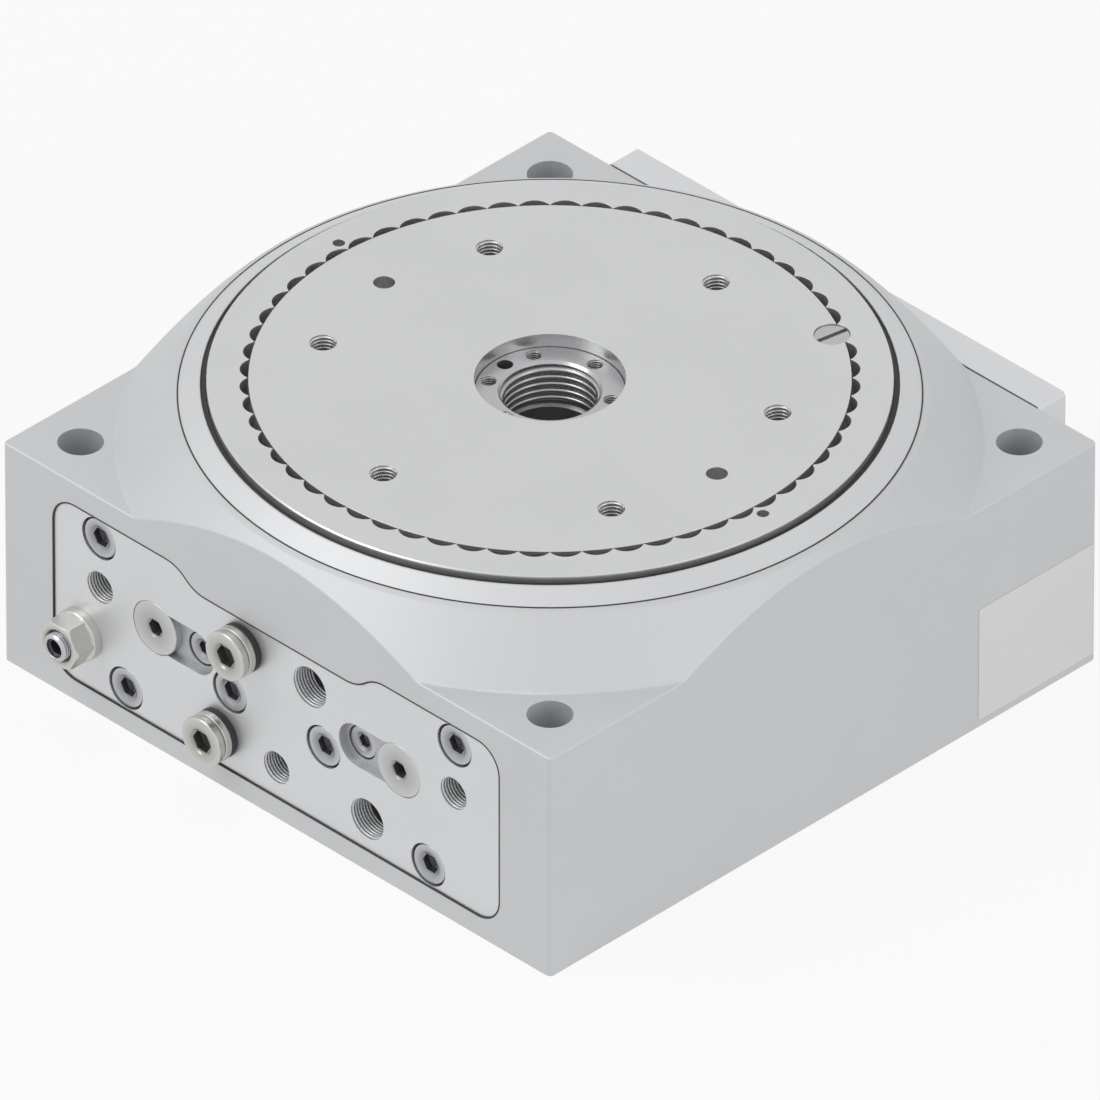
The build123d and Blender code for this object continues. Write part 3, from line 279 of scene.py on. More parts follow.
@dataclass(frozen=True)
class MetalFinish:
    """A metal surface with tool marks, faint stains, slightly worn edges and painted shade in
    hollows and recesses.
    """

    name: str
    colour: Colour
    roughness: float
    lay: Lay
    metallic: float = 1.0
    mark_size: float = 0.4 * MM
    mark_depth: float = 0.012 * MM
    stain: float = 0.08
    edge: float = 0.35 * MM
    wear: float = 0.25
    # Strength of the painted shade stored at the points of turned shapes.
    hollow_shade: float = 0.0
    joint_y: float | None = None
    joint_width: float = 1.2 * MM
    # Plane behind which painted shade darkens recesses, and how far in it reaches full
    # strength.
    recess_y: float | None = None
    recess_run: float = 8.0 * MM

    CLOUDS_PER_METRE = 22.0
    CLOUD_DETAIL = 4.0
    MARK_SHARE = 0.45
    EDGE_GAIN = 6.0
    EDGE_LIFT = 0.45
    # Dark tones of the painted shade, in hollows and in recesses.
    HOLLOW_DARK = 0.12
    RECESS_DARK = 0.2
    RECESS_SHADE_SHARE = 0.7
    MARK_ROUGHNESS = 0.16
    CLOUD_ROUGHNESS = 0.14
    RELIEF = 0.6
    AXIAL_SHARE = 0.8

    def toned(self, share: float) -> Colour:
        """The finish's colour times a share."""
        return tuple(min(1.0, channel * share) for channel in self.colour)

    def marks(self, sheet: ShaderSheet) -> Signal:
        """Tool marks as a signal between 0 and 1.

        Args:
            sheet: Tree of the finish.

        Returns:
            The marks.
        """
        if self.lay in (Lay.TURNED, Lay.LATHED):
            if self.lay is Lay.LATHED:
                travel = sheet.stored(TRAVEL)
            else:
                x, y = sheet.along("X"), sheet.along("Y")
                travel = (x * x + y * y) ** 0.5 + sheet.along("Z") * self.AXIAL_SHARE
            inputs = {"W": travel, "Scale": 1.0 / self.mark_size, "Detail": 2.0}
            return sheet.add("ShaderNodeTexNoise", {"noise_dimensions": "1D"}, inputs, 0)
        stretches = {
            Lay.MILLED_X: (LONG_MARK, 1.0, 1.0),
            Lay.MILLED_Y: (1.0, LONG_MARK, 1.0),
            Lay.MILLED_Z: (1.0, 1.0, LONG_MARK),
        }
        stretch = stretches.get(self.lay, (1.0, 1.0, 1.0))
        return sheet.noise(sheet.place(stretch), 1.0 / self.mark_size)

    def normals(self, sheet: ShaderSheet, flat: Signal) -> Signal:
        """Normals that are eased at the edges, but not beside a joint.

        Args:
            sheet: Tree of the finish.
            flat: The mesh's own normals.

        Returns:
            The eased normals.
        """
        rounded = sheet.add("ShaderNodeBevel", {"samples": 4}, {"Radius": self.edge})
        if self.joint_y is None:
            return rounded
        limits = {0: sheet.along("Y"), 1: self.joint_y, 2: self.joint_width}
        beside = sheet.add("ShaderNodeMath", {"operation": "COMPARE"}, limits)
        choice = {0: beside, 4: rounded, 5: flat}
        return sheet.add("ShaderNodeMix", {"data_type": "VECTOR"}, choice, 1)

    def tint(self, sheet: ShaderSheet, stains: Signal, worn: Signal) -> Signal:
        """Colour with stains and bright edges, and painted shade in hollows and recesses.

        Args:
            sheet: Tree of the finish.
            stains: Where the colour is lighter.
            worn: Where an edge is worn bright.

        Returns:
            The colour.
        """
        bright = tuple(channel + (1.0 - channel) * self.EDGE_LIFT for channel in self.colour)
        tone = sheet.mix(stains, self.toned(1.0 - self.stain), self.toned(1.0 + self.stain))
        colour = sheet.mix(worn, tone, bright)
        # Painted shade: darkens each point by its stored share, deepest in sockets, grooves
        # and bores.
        if self.hollow_shade > 0.0:
            hollow_shade = sheet.stored(SHADE_ATTRIBUTE) * self.hollow_shade
            colour = sheet.mix(hollow_shade, colour, self.toned(self.HOLLOW_DARK))
        # Painted shade: the deeper a face lies behind the plate's front, in slots and holes,
        # the darker it is.
        if self.recess_y is not None:
            inwards = (sheet.along("Y") - self.recess_y) * (1.0 / self.recess_run)
            depth = inwards.clamped() ** 0.5
            colour = sheet.mix(depth * self.RECESS_SHADE_SHARE, colour, self.toned(self.RECESS_DARK))
        return colour

    def material(self) -> bpy.types.Material:
        """Builds the finish.

        Returns:
            The material.
        """
        sheet = ShaderSheet(bpy.data.materials.new(self.name))
        marks = self.marks(sheet)
        cloud = sheet.noise(sheet.place(), self.CLOUDS_PER_METRE, self.CLOUD_DETAIL)
        flat = sheet.add("ShaderNodeNewGeometry", {}, {}, "Normal")
        eased = self.normals(sheet, flat)
        both = {0: eased, 1: flat}
        turn = sheet.add("ShaderNodeVectorMath", {"operation": "DOT_PRODUCT"}, both, 1)
        worn = ((1.0 - turn) * self.EDGE_GAIN).clamped() * self.wear
        stains = marks * self.MARK_SHARE + cloud * (1.0 - self.MARK_SHARE)
        uneven = (marks - 0.5) * self.MARK_ROUGHNESS + (cloud - 0.5) * self.CLOUD_ROUGHNESS
        relief = {
            "Strength": self.RELIEF, "Distance": self.mark_depth, "Height": marks,
            "Normal": eased,
        }
        look = {
            "Base Color": self.tint(sheet, stains, worn),
            "Roughness": uneven + self.roughness,
            "Metallic": self.metallic,
            "Normal": sheet.add("ShaderNodeBump", {}, relief),
        }
        return sheet.finish(sheet.add("ShaderNodeBsdfPrincipled", {}, look))


@dataclass(frozen=True)
class SoftFinish:
    """A matt surface without metal, such as rubber, gasket sheet or plastic."""

    name: str
    colour: Colour
    roughness: float
    grain_size: float = 0.5 * MM
    grain_depth: float = 0.03 * MM

    DETAIL = 3.0
    CLOUDS_PER_METRE = 60.0
    GRAIN_SHARE = 0.4
    PALER = 1.5
    LEAST_LIGHT = 0.01
    CLOUD_ROUGHNESS = 0.2
    RELIEF = 0.4

    def material(self) -> bpy.types.Material:
        """Builds the finish.

        Returns:
            The material.
        """
        sheet = ShaderSheet(bpy.data.materials.new(self.name))
        grain = sheet.noise(sheet.place(), 1.0 / self.grain_size, self.DETAIL)
        cloud = sheet.noise(sheet.place(), self.CLOUDS_PER_METRE, self.DETAIL)
        light = tuple(
            min(1.0, channel * self.PALER + self.LEAST_LIGHT) for channel in self.colour
        )
        dusty = grain * self.GRAIN_SHARE + cloud * self.GRAIN_SHARE
        relief = {"Strength": self.RELIEF, "Distance": self.grain_depth, "Height": grain}
        look = {
            "Base Color": sheet.mix(dusty, self.colour, light),
            "Roughness": (cloud - 0.5) * self.CLOUD_ROUGHNESS + self.roughness,
            "Normal": sheet.add("ShaderNodeBump", {}, relief),
        }
        return sheet.finish(sheet.add("ShaderNodeBsdfPrincipled", {}, look))


class Finishes:
    """All finishes of the table, each made once and shared."""

    def __init__(self) -> None:
        """Builds the materials by the names of the record's slots."""
        recipes = {
            "housing_alloy": MetalFinish(
                "blasted_alloy", (0.66, 0.67, 0.68), 0.58, Lay.BLASTED, metallic=0.5,
                mark_size=0.35 * MM, joint_y=-129.0 * MM,
            ),
            "cover_alloy": MetalFinish(
                "milled_alloy", (0.70, 0.71, 0.72), 0.42, Lay.MILLED_X, metallic=0.7,
                mark_size=0.3 * MM, stain=0.06,
            ),
            "ground_steel": MetalFinish(
                "turned_steel", (0.62, 0.625, 0.63), 0.34, Lay.TURNED, metallic=0.85,
                mark_size=0.45 * MM,
            ),
            "hardened_steel": MetalFinish(
                "hardened_steel", (0.47, 0.47, 0.48), 0.30, Lay.PLAIN, metallic=0.9
            ),
            "gear_steel": MetalFinish(
                "gear_steel", (0.42, 0.42, 0.43), 0.34, Lay.MILLED_Z, metallic=0.9
            ),
            "bearing_steel": MetalFinish(
                "bearing_steel", (0.60, 0.61, 0.62), 0.22, Lay.TURNED, metallic=0.95
            ),
            "screw_steel": MetalFinish(
                "zinc_plated_steel", (0.52, 0.53, 0.55), 0.36, Lay.BLASTED, metallic=0.85,
                mark_size=0.6 * MM,
            ),
            "spring_steel": MetalFinish(
                "spring_steel", (0.36, 0.36, 0.38), 0.32, Lay.PLAIN, metallic=0.9
            ),
            "plug_metal": MetalFinish(
                "plated_metal", (0.60, 0.59, 0.57), 0.34, Lay.PLAIN, metallic=0.85
            ),
            "bronze": MetalFinish(
                "bronze", (0.62, 0.42, 0.22), 0.34, Lay.TURNED, metallic=0.95
            ),
            "seal_rubber": SoftFinish("seal_rubber", (0.02, 0.02, 0.022), 0.55),
            "gasket_sheet": SoftFinish("gasket_sheet", (0.07, 0.07, 0.075), 0.8),
        }
        self.by_slot = {slot: recipe.material() for slot, recipe in recipes.items()}
        collar = MetalFinish(
            "turned_alloy", (0.68, 0.69, 0.70), 0.50, Lay.TURNED, metallic=0.6,
            mark_size=0.5 * MM,
        )
        # The connection plate is the cover finish with painted shade in its slots and holes.
        plate = MetalFinish(
            "milled_plate", (0.70, 0.71, 0.72), 0.42, Lay.MILLED_X, metallic=0.7,
            mark_size=0.3 * MM, stain=0.06, recess_y=-139.35 * MM,
        )
        self.by_node = {"collar_ring": collar.material(), "connection_plate": plate.material()}
        self.label = MetalFinish(
            "label_foil", (0.80, 0.80, 0.80), 0.42, Lay.MILLED_Y, metallic=0.35,
            mark_size=0.3 * MM, mark_depth=0.004 * MM, stain=0.05, edge=0.1 * MM,
        ).material()
        # Screws, fittings and stops get painted shade in their sockets, grooves and bores.
        self.screws = MetalFinish(
            "lathed_zinc", (0.52, 0.53, 0.55), 0.34, Lay.LATHED, metallic=0.85,
            mark_size=0.3 * MM, mark_depth=0.006 * MM, hollow_shade=0.85,
        ).material()
        self.fittings = MetalFinish(
            "lathed_nickel", (0.60, 0.59, 0.56), 0.32, Lay.LATHED, metallic=0.85,
            mark_size=0.4 * MM, mark_depth=0.006 * MM, hollow_shade=0.85,
        ).material()
        self.stops = MetalFinish(
            "lathed_steel", (0.60, 0.605, 0.61), 0.38, Lay.LATHED, metallic=0.8,
            mark_size=0.5 * MM, mark_depth=0.008 * MM, hollow_shade=0.85,
        ).material()


class CarriedSolids:
    """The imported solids, which keep their shape and get a finish."""

    def __init__(self, finishes: Finishes) -> None:
        """Keeps the finishes.

        Args:
            finishes: The materials by slot and by node.
        """
        self.finishes = finishes

    def dress(self) -> None:
        """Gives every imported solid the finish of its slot, or its own."""
        slots = {row["node"]: row["material_slot"] for row in frame["record"]["subparts"]}
        for node, solid in frame["nodes"].items():
            finish = self.finishes.by_node.get(node) or self.finishes.by_slot[slots[node]]
            for place in solid.material_slots:
                place.material = finish
            log.info("dressed %s in %s", node, finish.name)


@dataclass
class ThreadSet:
    """Holes of one size with the thread that is cut in them, all on one body."""

    name: str
    body: str
    slot: str
    radius: float
    pitch: float
    depth: float
    mouths: list[Place]
    steps: int
    turn: Place = (0.0, 0.0, 0.0)


class NodeTree:
    """Geometry Nodes tree with named inputs, which makes a piece from a start mesh."""

    INPUTS: dict[str, str] = {}

    def __init__(self, name: str) -> None:
        """Builds the tree's inputs and wires it.

        Args:
            name: Name of the tree.
        """
        self.tree = bpy.data.node_groups.new(name, "GeometryNodeTree")
        face = self.tree.interface
        face.new_socket(name="Geometry", in_out="INPUT", socket_type="NodeSocketGeometry")
        self.keys: dict[str, str] = {}
        for label, kind in {**self.INPUTS, "Finish": "NodeSocketMaterial"}.items():
            socket = face.new_socket(name=label, in_out="INPUT", socket_type=kind)
            self.keys[label] = socket.identifier
        face.new_socket(name="Geometry", in_out="OUTPUT", socket_type="NodeSocketGeometry")
        given = self._node("NodeGroupInput", {}, {})
        self.given = {socket.name: socket for socket in given.outputs}
        real = self._node("GeometryNodeRealizeInstances", {}, {"Geometry": self._wire()})
        last = {"Geometry": real.outputs[0], "Material": self.given["Finish"]}
        dressed = self._node("GeometryNodeSetMaterial", {}, last)
        self._node("NodeGroupOutput", {}, {0: dressed.outputs[0]})

    def _wire(self) -> bpy.types.NodeSocket:
        """Wires the middle of the tree.

        Returns:
            The geometry, before it is made real and gets its finish.
        """
        return self.given["Geometry"]

    def _node(
        self, kind: str, settings: Settings, inputs: Inputs
    ) -> bpy.types.Node:
        """Adds a node and links or sets its inputs.

        Args:
            kind: Blender's type name of the node.
            settings: Properties of the node, set before its sockets.
            inputs: Values or output sockets by input name or number.

        Returns:
            The node.
        """
        node = self.tree.nodes.new(kind)
        for key, value in settings.items():
            setattr(node, key, value)
        for key, value in inputs.items():
            if isinstance(value, bpy.types.NodeSocket):
                self.tree.links.new(value, node.inputs[key])
            else:
                node.inputs[key].default_value = value
        return node

    def _maths(self, operation: str, first: object, second: object) -> bpy.types.NodeSocket:
        """Result of a Math node.

        Args:
            operation: Blender's name of the operation.
            first: Left value or socket.
            second: Right value or socket.

        Returns:
            The output socket.
        """
        node = self._node("ShaderNodeMath", {"operation": operation}, {0: first, 1: second})
        return node.outputs[0]

    def make(
        self, name: str, start: bpy.types.Mesh, values: dict[str, object]
    ) -> bpy.types.Object:
        """Runs the tree on a start mesh and keeps the result as a plain mesh.

        Args:
            name: Name of the piece.
            start: Points or lines that the tree starts from.
            values: Values of the tree's inputs.

        Returns:
            The piece, not yet on a body.
        """
        piece = put(name, start)
        modifier = piece.modifiers.new("making", "NODES")
        modifier.node_group = self.tree
        for label, value in values.items():
            modifier[self.keys[label]] = value
        graph = bpy.context.evaluated_depsgraph_get()
        plain = bpy.data.meshes.new_from_object(piece.evaluated_get(graph))
        piece.modifiers.remove(modifier)
        piece.data = plain
        log.info("made %s: %d faces", name, len(plain.polygons))
        return piece


class ThreadCutter(NodeTree):
    """Winds one ridge into each hole of a thread set."""

    INPUTS = {
        "Radius": "NodeSocketFloat",
        "Pitch": "NodeSocketFloat",
        "Depth": "NodeSocketFloat",
        "Turn": "NodeSocketVector",
        "Steps": "NodeSocketInt",
    }
    RIDGE_SHARE = 0.46
    RIDGE_SIDES = 4
    END_SHARE = 1.2

    def _wire(self) -> bpy.types.NodeSocket:
        """Wires a spiral, a four-sided ridge along it and one copy at each mouth.

        Returns:
            The copies.
        """
        given = self.given
        ridge = self._maths("MULTIPLY", given["Pitch"], self.RIDGE_SHARE)
        end = self._maths("MULTIPLY", ridge, self.END_SHARE)
        length = self._maths("SUBTRACT", given["Depth"], self._maths("ADD", end, end))
        winding = {
            "Resolution": given["Steps"],
            "Rotations": self._maths("DIVIDE", length, given["Pitch"]),
            "Start Radius": given["Radius"],
            "End Radius": given["Radius"],
            "Height": length,
        }
        spiral = self._node("GeometryNodeCurveSpiral", {}, winding)
        line = {"Curve": spiral.outputs[0]}
        upright = self._node("GeometryNodeSetCurveNormal", {"mode": "Z_UP"}, line)
        size = {"Resolution": self.RIDGE_SIDES, "Radius": ridge}
        profile = self._node("GeometryNodeCurvePrimitiveCircle", {"mode": "RADIUS"}, size)
        along = {
            "Curve": upright.outputs[0], "Profile Curve": profile.outputs[0], "Fill Caps": True
        }
        swept = self._node("GeometryNodeCurveToMesh", {}, along)
        start = self._maths("MULTIPLY", self._maths("ADD", length, end), -1.0)
        shift = self._node("ShaderNodeCombineXYZ", {}, {"Z": start})
        lowering = {"Geometry": swept.outputs[0], "Translation": shift.outputs[0]}
        lowered = self._node("GeometryNodeTransform", {}, lowering)
        placing = {
            "Points": given["Geometry"],
            "Instance": lowered.outputs[0],
            "Rotation": given["Turn"],
        }
        return self._node("GeometryNodeInstanceOnPoints", {}, placing).outputs[0]

    def cut(self, thread: ThreadSet, finish: bpy.types.Material) -> bpy.types.Object:
        """Makes the ridges of one set as a plain mesh that rides on its body.

        Args:
            thread: Sizes and places of the holes.
            finish: Material of the ridges.

        Returns:
            The finished object.
        """
        values = {
            "Radius": thread.radius * MM,
            "Pitch": thread.pitch * MM,
            "Depth": thread.depth * MM,
            "Turn": thread.turn,
            "Steps": thread.steps,
            "Finish": finish,
        }
        piece = self.make(thread.name, points_mesh(thread.name, thread.mouths), values)
        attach(piece, thread.body)
        return piece


class BeadLayer(NodeTree):
    """Lays a round bead along a closed line."""

    INPUTS = {"Radius": "NodeSocketFloat"}
    SIDES = 10

    def _wire(self) -> bpy.types.NodeSocket:
        """Wires the line and the round that is swept along it.

        Returns:
            The bead.
        """
        line = self._node("GeometryNodeMeshToCurve", {}, {0: self.given["Geometry"]})
        size = {"Resolution": self.SIDES, "Radius": self.given["Radius"]}
        profile = self._node("GeometryNodeCurvePrimitiveCircle", {"mode": "RADIUS"}, size)
        along = {"Curve": line.outputs[0], "Profile Curve": profile.outputs[0]}
        return self._node("GeometryNodeCurveToMesh", {}, along).outputs[0]

    def lay(
        self, name: str, line: list[Place], radius: float, finishes: Finishes
    ) -> bpy.types.Object:
        """Lays a rubber bead on the body.

        Args:
            name: Name of the bead.
            line: Points of the closed line in millimetres.
            radius: Radius of the bead in millimetres.
            finishes: Holds the rubber's material.

        Returns:
            The bead.
        """
        values = {"Radius": radius * MM, "Finish": finishes.by_slot["seal_rubber"]}
        piece = self.make(name, points_mesh(name, line, True), values)
        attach(piece, "base")
        return piece


class Setter(NodeTree):
    """Sets one copy of a turned shape at each point."""

    INPUTS = {"Shape": "NodeSocketObject", "Turn": "NodeSocketVector"}

    def _wire(self) -> bpy.types.NodeSocket:
        """Wires the shape and its copies.

        Returns:
            The copies.
        """
        shape = self._node("GeometryNodeObjectInfo", {}, {"Object": self.given["Shape"]})
        placing = {
            "Points": self.given["Geometry"],
            "Instance": shape.outputs["Geometry"],
            "Rotation": self.given["Turn"],
        }
        return self._node("GeometryNodeInstanceOnPoints", {}, placing).outputs[0]


def points_mesh(name: str, places: list[Place], closed: bool = False) -> bpy.types.Mesh:
    """Mesh of loose points, or of one closed line through them.

    Args:
        name: Name of the mesh.
        places: The points in millimetres.
        closed: Whether a line joins them.

    Returns:
        The mesh.
    """
    count = len(places)
    edges = [(step, (step + 1) % count) for step in range(count)] if closed else []
    mesh = bpy.data.meshes.new(name)
    mesh.from_pydata([Vector(place) * MM for place in places], edges, [])
    return mesh


@dataclass(frozen=True)
class Rim:
    """One corner of a turned profile, in millimetres.

    A six-sided rim is as far out as its flats, and falls back towards its corners by the cone.
    """

    reach: float
    along: float
    ease: float = 0.0
    six_sided: bool = False
    cone: float = 0.0
    # Share of painted shade at this rim: darker in sockets, grooves and bores, where shade
    # falls.
    shelter: float = 0.0

    def point(self, angle: float) -> Vector:
        """Where the rim is at this angle.

        Args:
            angle: Angle about the axis in radians, with hexagon corners at every 60 degrees.

        Returns:
            Distance from the axis and along it.
        """
        if not self.six_sided:
            return Vector((self.reach, self.along))
        reach = self.reach / cos(angle % (pi / 3) - pi / 6)
        return Vector((reach, self.along - self.cone * (reach - self.reach)))


@dataclass(frozen=True)
class TurnedShape:
    """A shape turned about its own axis, which may have hexagons in or round it."""

    name: str
    rims: tuple[Rim, ...]
    ring: bool = False
    sides: int = 48
    ease_steps: int = 3

    def profile(self, angle: float) -> list[tuple[Vector, float]]:
        """The profile at one angle, with its corners eased.

        Args:
            angle: Angle about the axis in radians.

        Returns:
            Points of the profile, each with its share of painted shade.
        """
        corners = [rim.point(angle) for rim in self.rims]
        count = len(corners)
        line = []
        for step, rim in enumerate(self.rims):
            here = corners[step]
            at_end = not self.ring and step in (0, count - 1)
            if at_end or rim.ease == 0.0:
                line.append((here, rim.shelter))
                continue
            back = corners[step - 1] - here
            ahead = corners[(step + 1) % count] - here
            start = here + back.normalized() * min(rim.ease, 0.45 * back.length)
            end = here + ahead.normalized() * min(rim.ease, 0.45 * ahead.length)
            for part in range(self.ease_steps + 1):
                share = part / self.ease_steps
                first = start.lerp(here, share)
                second = here.lerp(end, share)
                line.append((first.lerp(second, share), rim.shelter))
        return line

    def mesh(self) -> bpy.types.Mesh:
        """Builds the shape with its axis along Z, from its inner end up to its outer end.

        Returns:
            The mesh, which keeps the travel along the profile and the painted shade of each
            point.
        """
        shape = bmesh.new()
        travel_layer = shape.verts.layers.float.new(TRAVEL)
        painted_shade_layer = shape.verts.layers.float.new(SHADE_ATTRIBUTE)
        columns = []
        for side in range(self.sides):
            angle = 2 * pi * side / self.sides
            column = []
            travel = 0.0
            before = None
            for spot, shelter in self.profile(angle):
                travel += 0.0 if before is None else (spot - before).length
                before = spot
                place = Vector((spot.x * cos(angle), spot.x * sin(angle), spot.y)) * MM
                vertex = shape.verts.new(place)
                vertex[travel_layer] = travel * MM
                vertex[painted_shade_layer] = shelter
                column.append(vertex)
            columns.append(column)
        rows = len(columns[0])
        for side, column in enumerate(columns):
            other = columns[(side + 1) % self.sides]
            for row in range(rows if self.ring else rows - 1):
                above = (row + 1) % rows
                shape.faces.new((column[row], other[row], other[above], column[above]))
        bmesh.ops.remove_doubles(shape, verts=shape.verts, dist=0.0005 * MM)
        bmesh.ops.recalc_face_normals(shape, faces=shape.faces)
        for face in shape.faces:
            face.smooth = True
        mesh = bpy.data.meshes.new(self.name)
        shape.to_mesh(mesh)
        shape.free()
        mesh.set_sharp_from_angle(angle=radians(28.0))
        return mesh


@dataclass(frozen=True)
class Placing:
    """Where the copies of a turned shape go, and which solid they stand for."""

    body: str
    node: str
    slot: str
    spots: tuple[Place, ...]
    turn: Place


FRONT = -139.5
OUT_OF_FRONT = (pi / 2, 0.0, 0.0)
OUT_OF_REAR = (-pi / 2, 0.0, 0.0)


class TurnedPieces:
    """Sets turned shapes in their places, on their body and for the solid they replace."""

    def __init__(self) -> None:
        """Builds the tree that sets the copies."""
        self.setter = Setter("turned_copies")

    def set(
        self, shape: TurnedShape, placing: Placing, finish: bpy.types.Material
    ) -> bpy.types.Object:
        """Makes the copies of one shape as one piece.

        Args:
            shape: The turned shape.
            placing: Its places and the solid that it stands for.
            finish: Its material.

        Returns:
            The piece.
        """
        pattern = put(f"{shape.name}_pattern", shape.mesh())
        values = {"Shape": pattern, "Turn": placing.turn, "Finish": finish}
        start = points_mesh(shape.name, list(placing.spots))
        piece = self.setter.make(shape.name, start, values)
        bpy.data.objects.remove(pattern)
        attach(piece, placing.body)
        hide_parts(placing.node)
        return piece


def corner_radius(hexagon: float) -> float:
    """Radius of a hexagon's corners, from its width across flats."""
    return hexagon / 2 / cos(pi / 6)


def tip_rims(radius: float, tip: float, edge: float) -> tuple[Rim, ...]:
    """The chamfered inner end of a round shank.

    Args:
        radius: Radius of the shank.
        tip: Where the shank ends.
        edge: Size of the chamfer.

    Returns:
        Its rims, from the axis outwards.
    """
    return Rim(0.0, tip), Rim(radius - edge, tip), Rim(radius, tip + edge)


@dataclass(frozen=True)
class HexSocket:
    """Hexagon socket with a chamfered mouth and a coned floor, in millimetres."""

    hexagon: float
    mouth: float
    lead: float
    depth: float
    point: float

    CLEARANCE = 0.1
    # Painted shade in the socket, growing from the mouth down to the floor.
    MOUTH_SHADE = 0.35
    LEAD_SHADE = 0.6
    WALL_SHADE = 0.7

    def rims(self, top: float) -> tuple[Rim, ...]:
        """The socket's share of a profile.

        Args:
            top: Height of the face that it is in.

        Returns:
            Its rims, from the mouth inwards.
        """
        flats = self.hexagon / 2
        lead, floor = top - self.lead, top - self.depth
        return (
            Rim(self.mouth, top, shelter=self.MOUTH_SHADE),
            Rim(corner_radius(self.hexagon) + self.CLEARANCE, lead, shelter=self.LEAD_SHADE),
            Rim(flats, lead, six_sided=True, shelter=self.WALL_SHADE),
            Rim(flats, floor, six_sided=True, shelter=1.0),
            Rim(0.0, floor - self.point, shelter=1.0),
        )


@dataclass(frozen=True)
class CapScrew:
    """Socket-head screw whose head has a dished face round its hexagon."""

    shank: float
    head: float
    height: float
    hexagon: float
    top: float
    tip: float
    dish: float
    head_edge: float = 0.7

    SOCKET_SHARE = 0.6
    TIP_EDGE = 0.6
    LEAD = 0.8
    POINT_SHARE = 0.2

    def shape(self, name: str) -> TurnedShape:
        """The screw with its axis along Z.

        Args:
            name: Name of the piece.

        Returns:
            The turned shape.
        """
        under = self.top - self.height
        depth = self.height * self.SOCKET_SHARE
        point = self.hexagon * self.POINT_SHARE
        socket = HexSocket(self.hexagon, self.dish, self.LEAD, depth, point)
        rims = (
            *tip_rims(self.shank, self.tip, self.TIP_EDGE),
            Rim(self.shank, under, 0.2),
            Rim(self.head, under, 0.2),
            Rim(self.head, self.top, self.head_edge),
            *socket.rims(self.top),
        )
        return TurnedShape(name, rims)


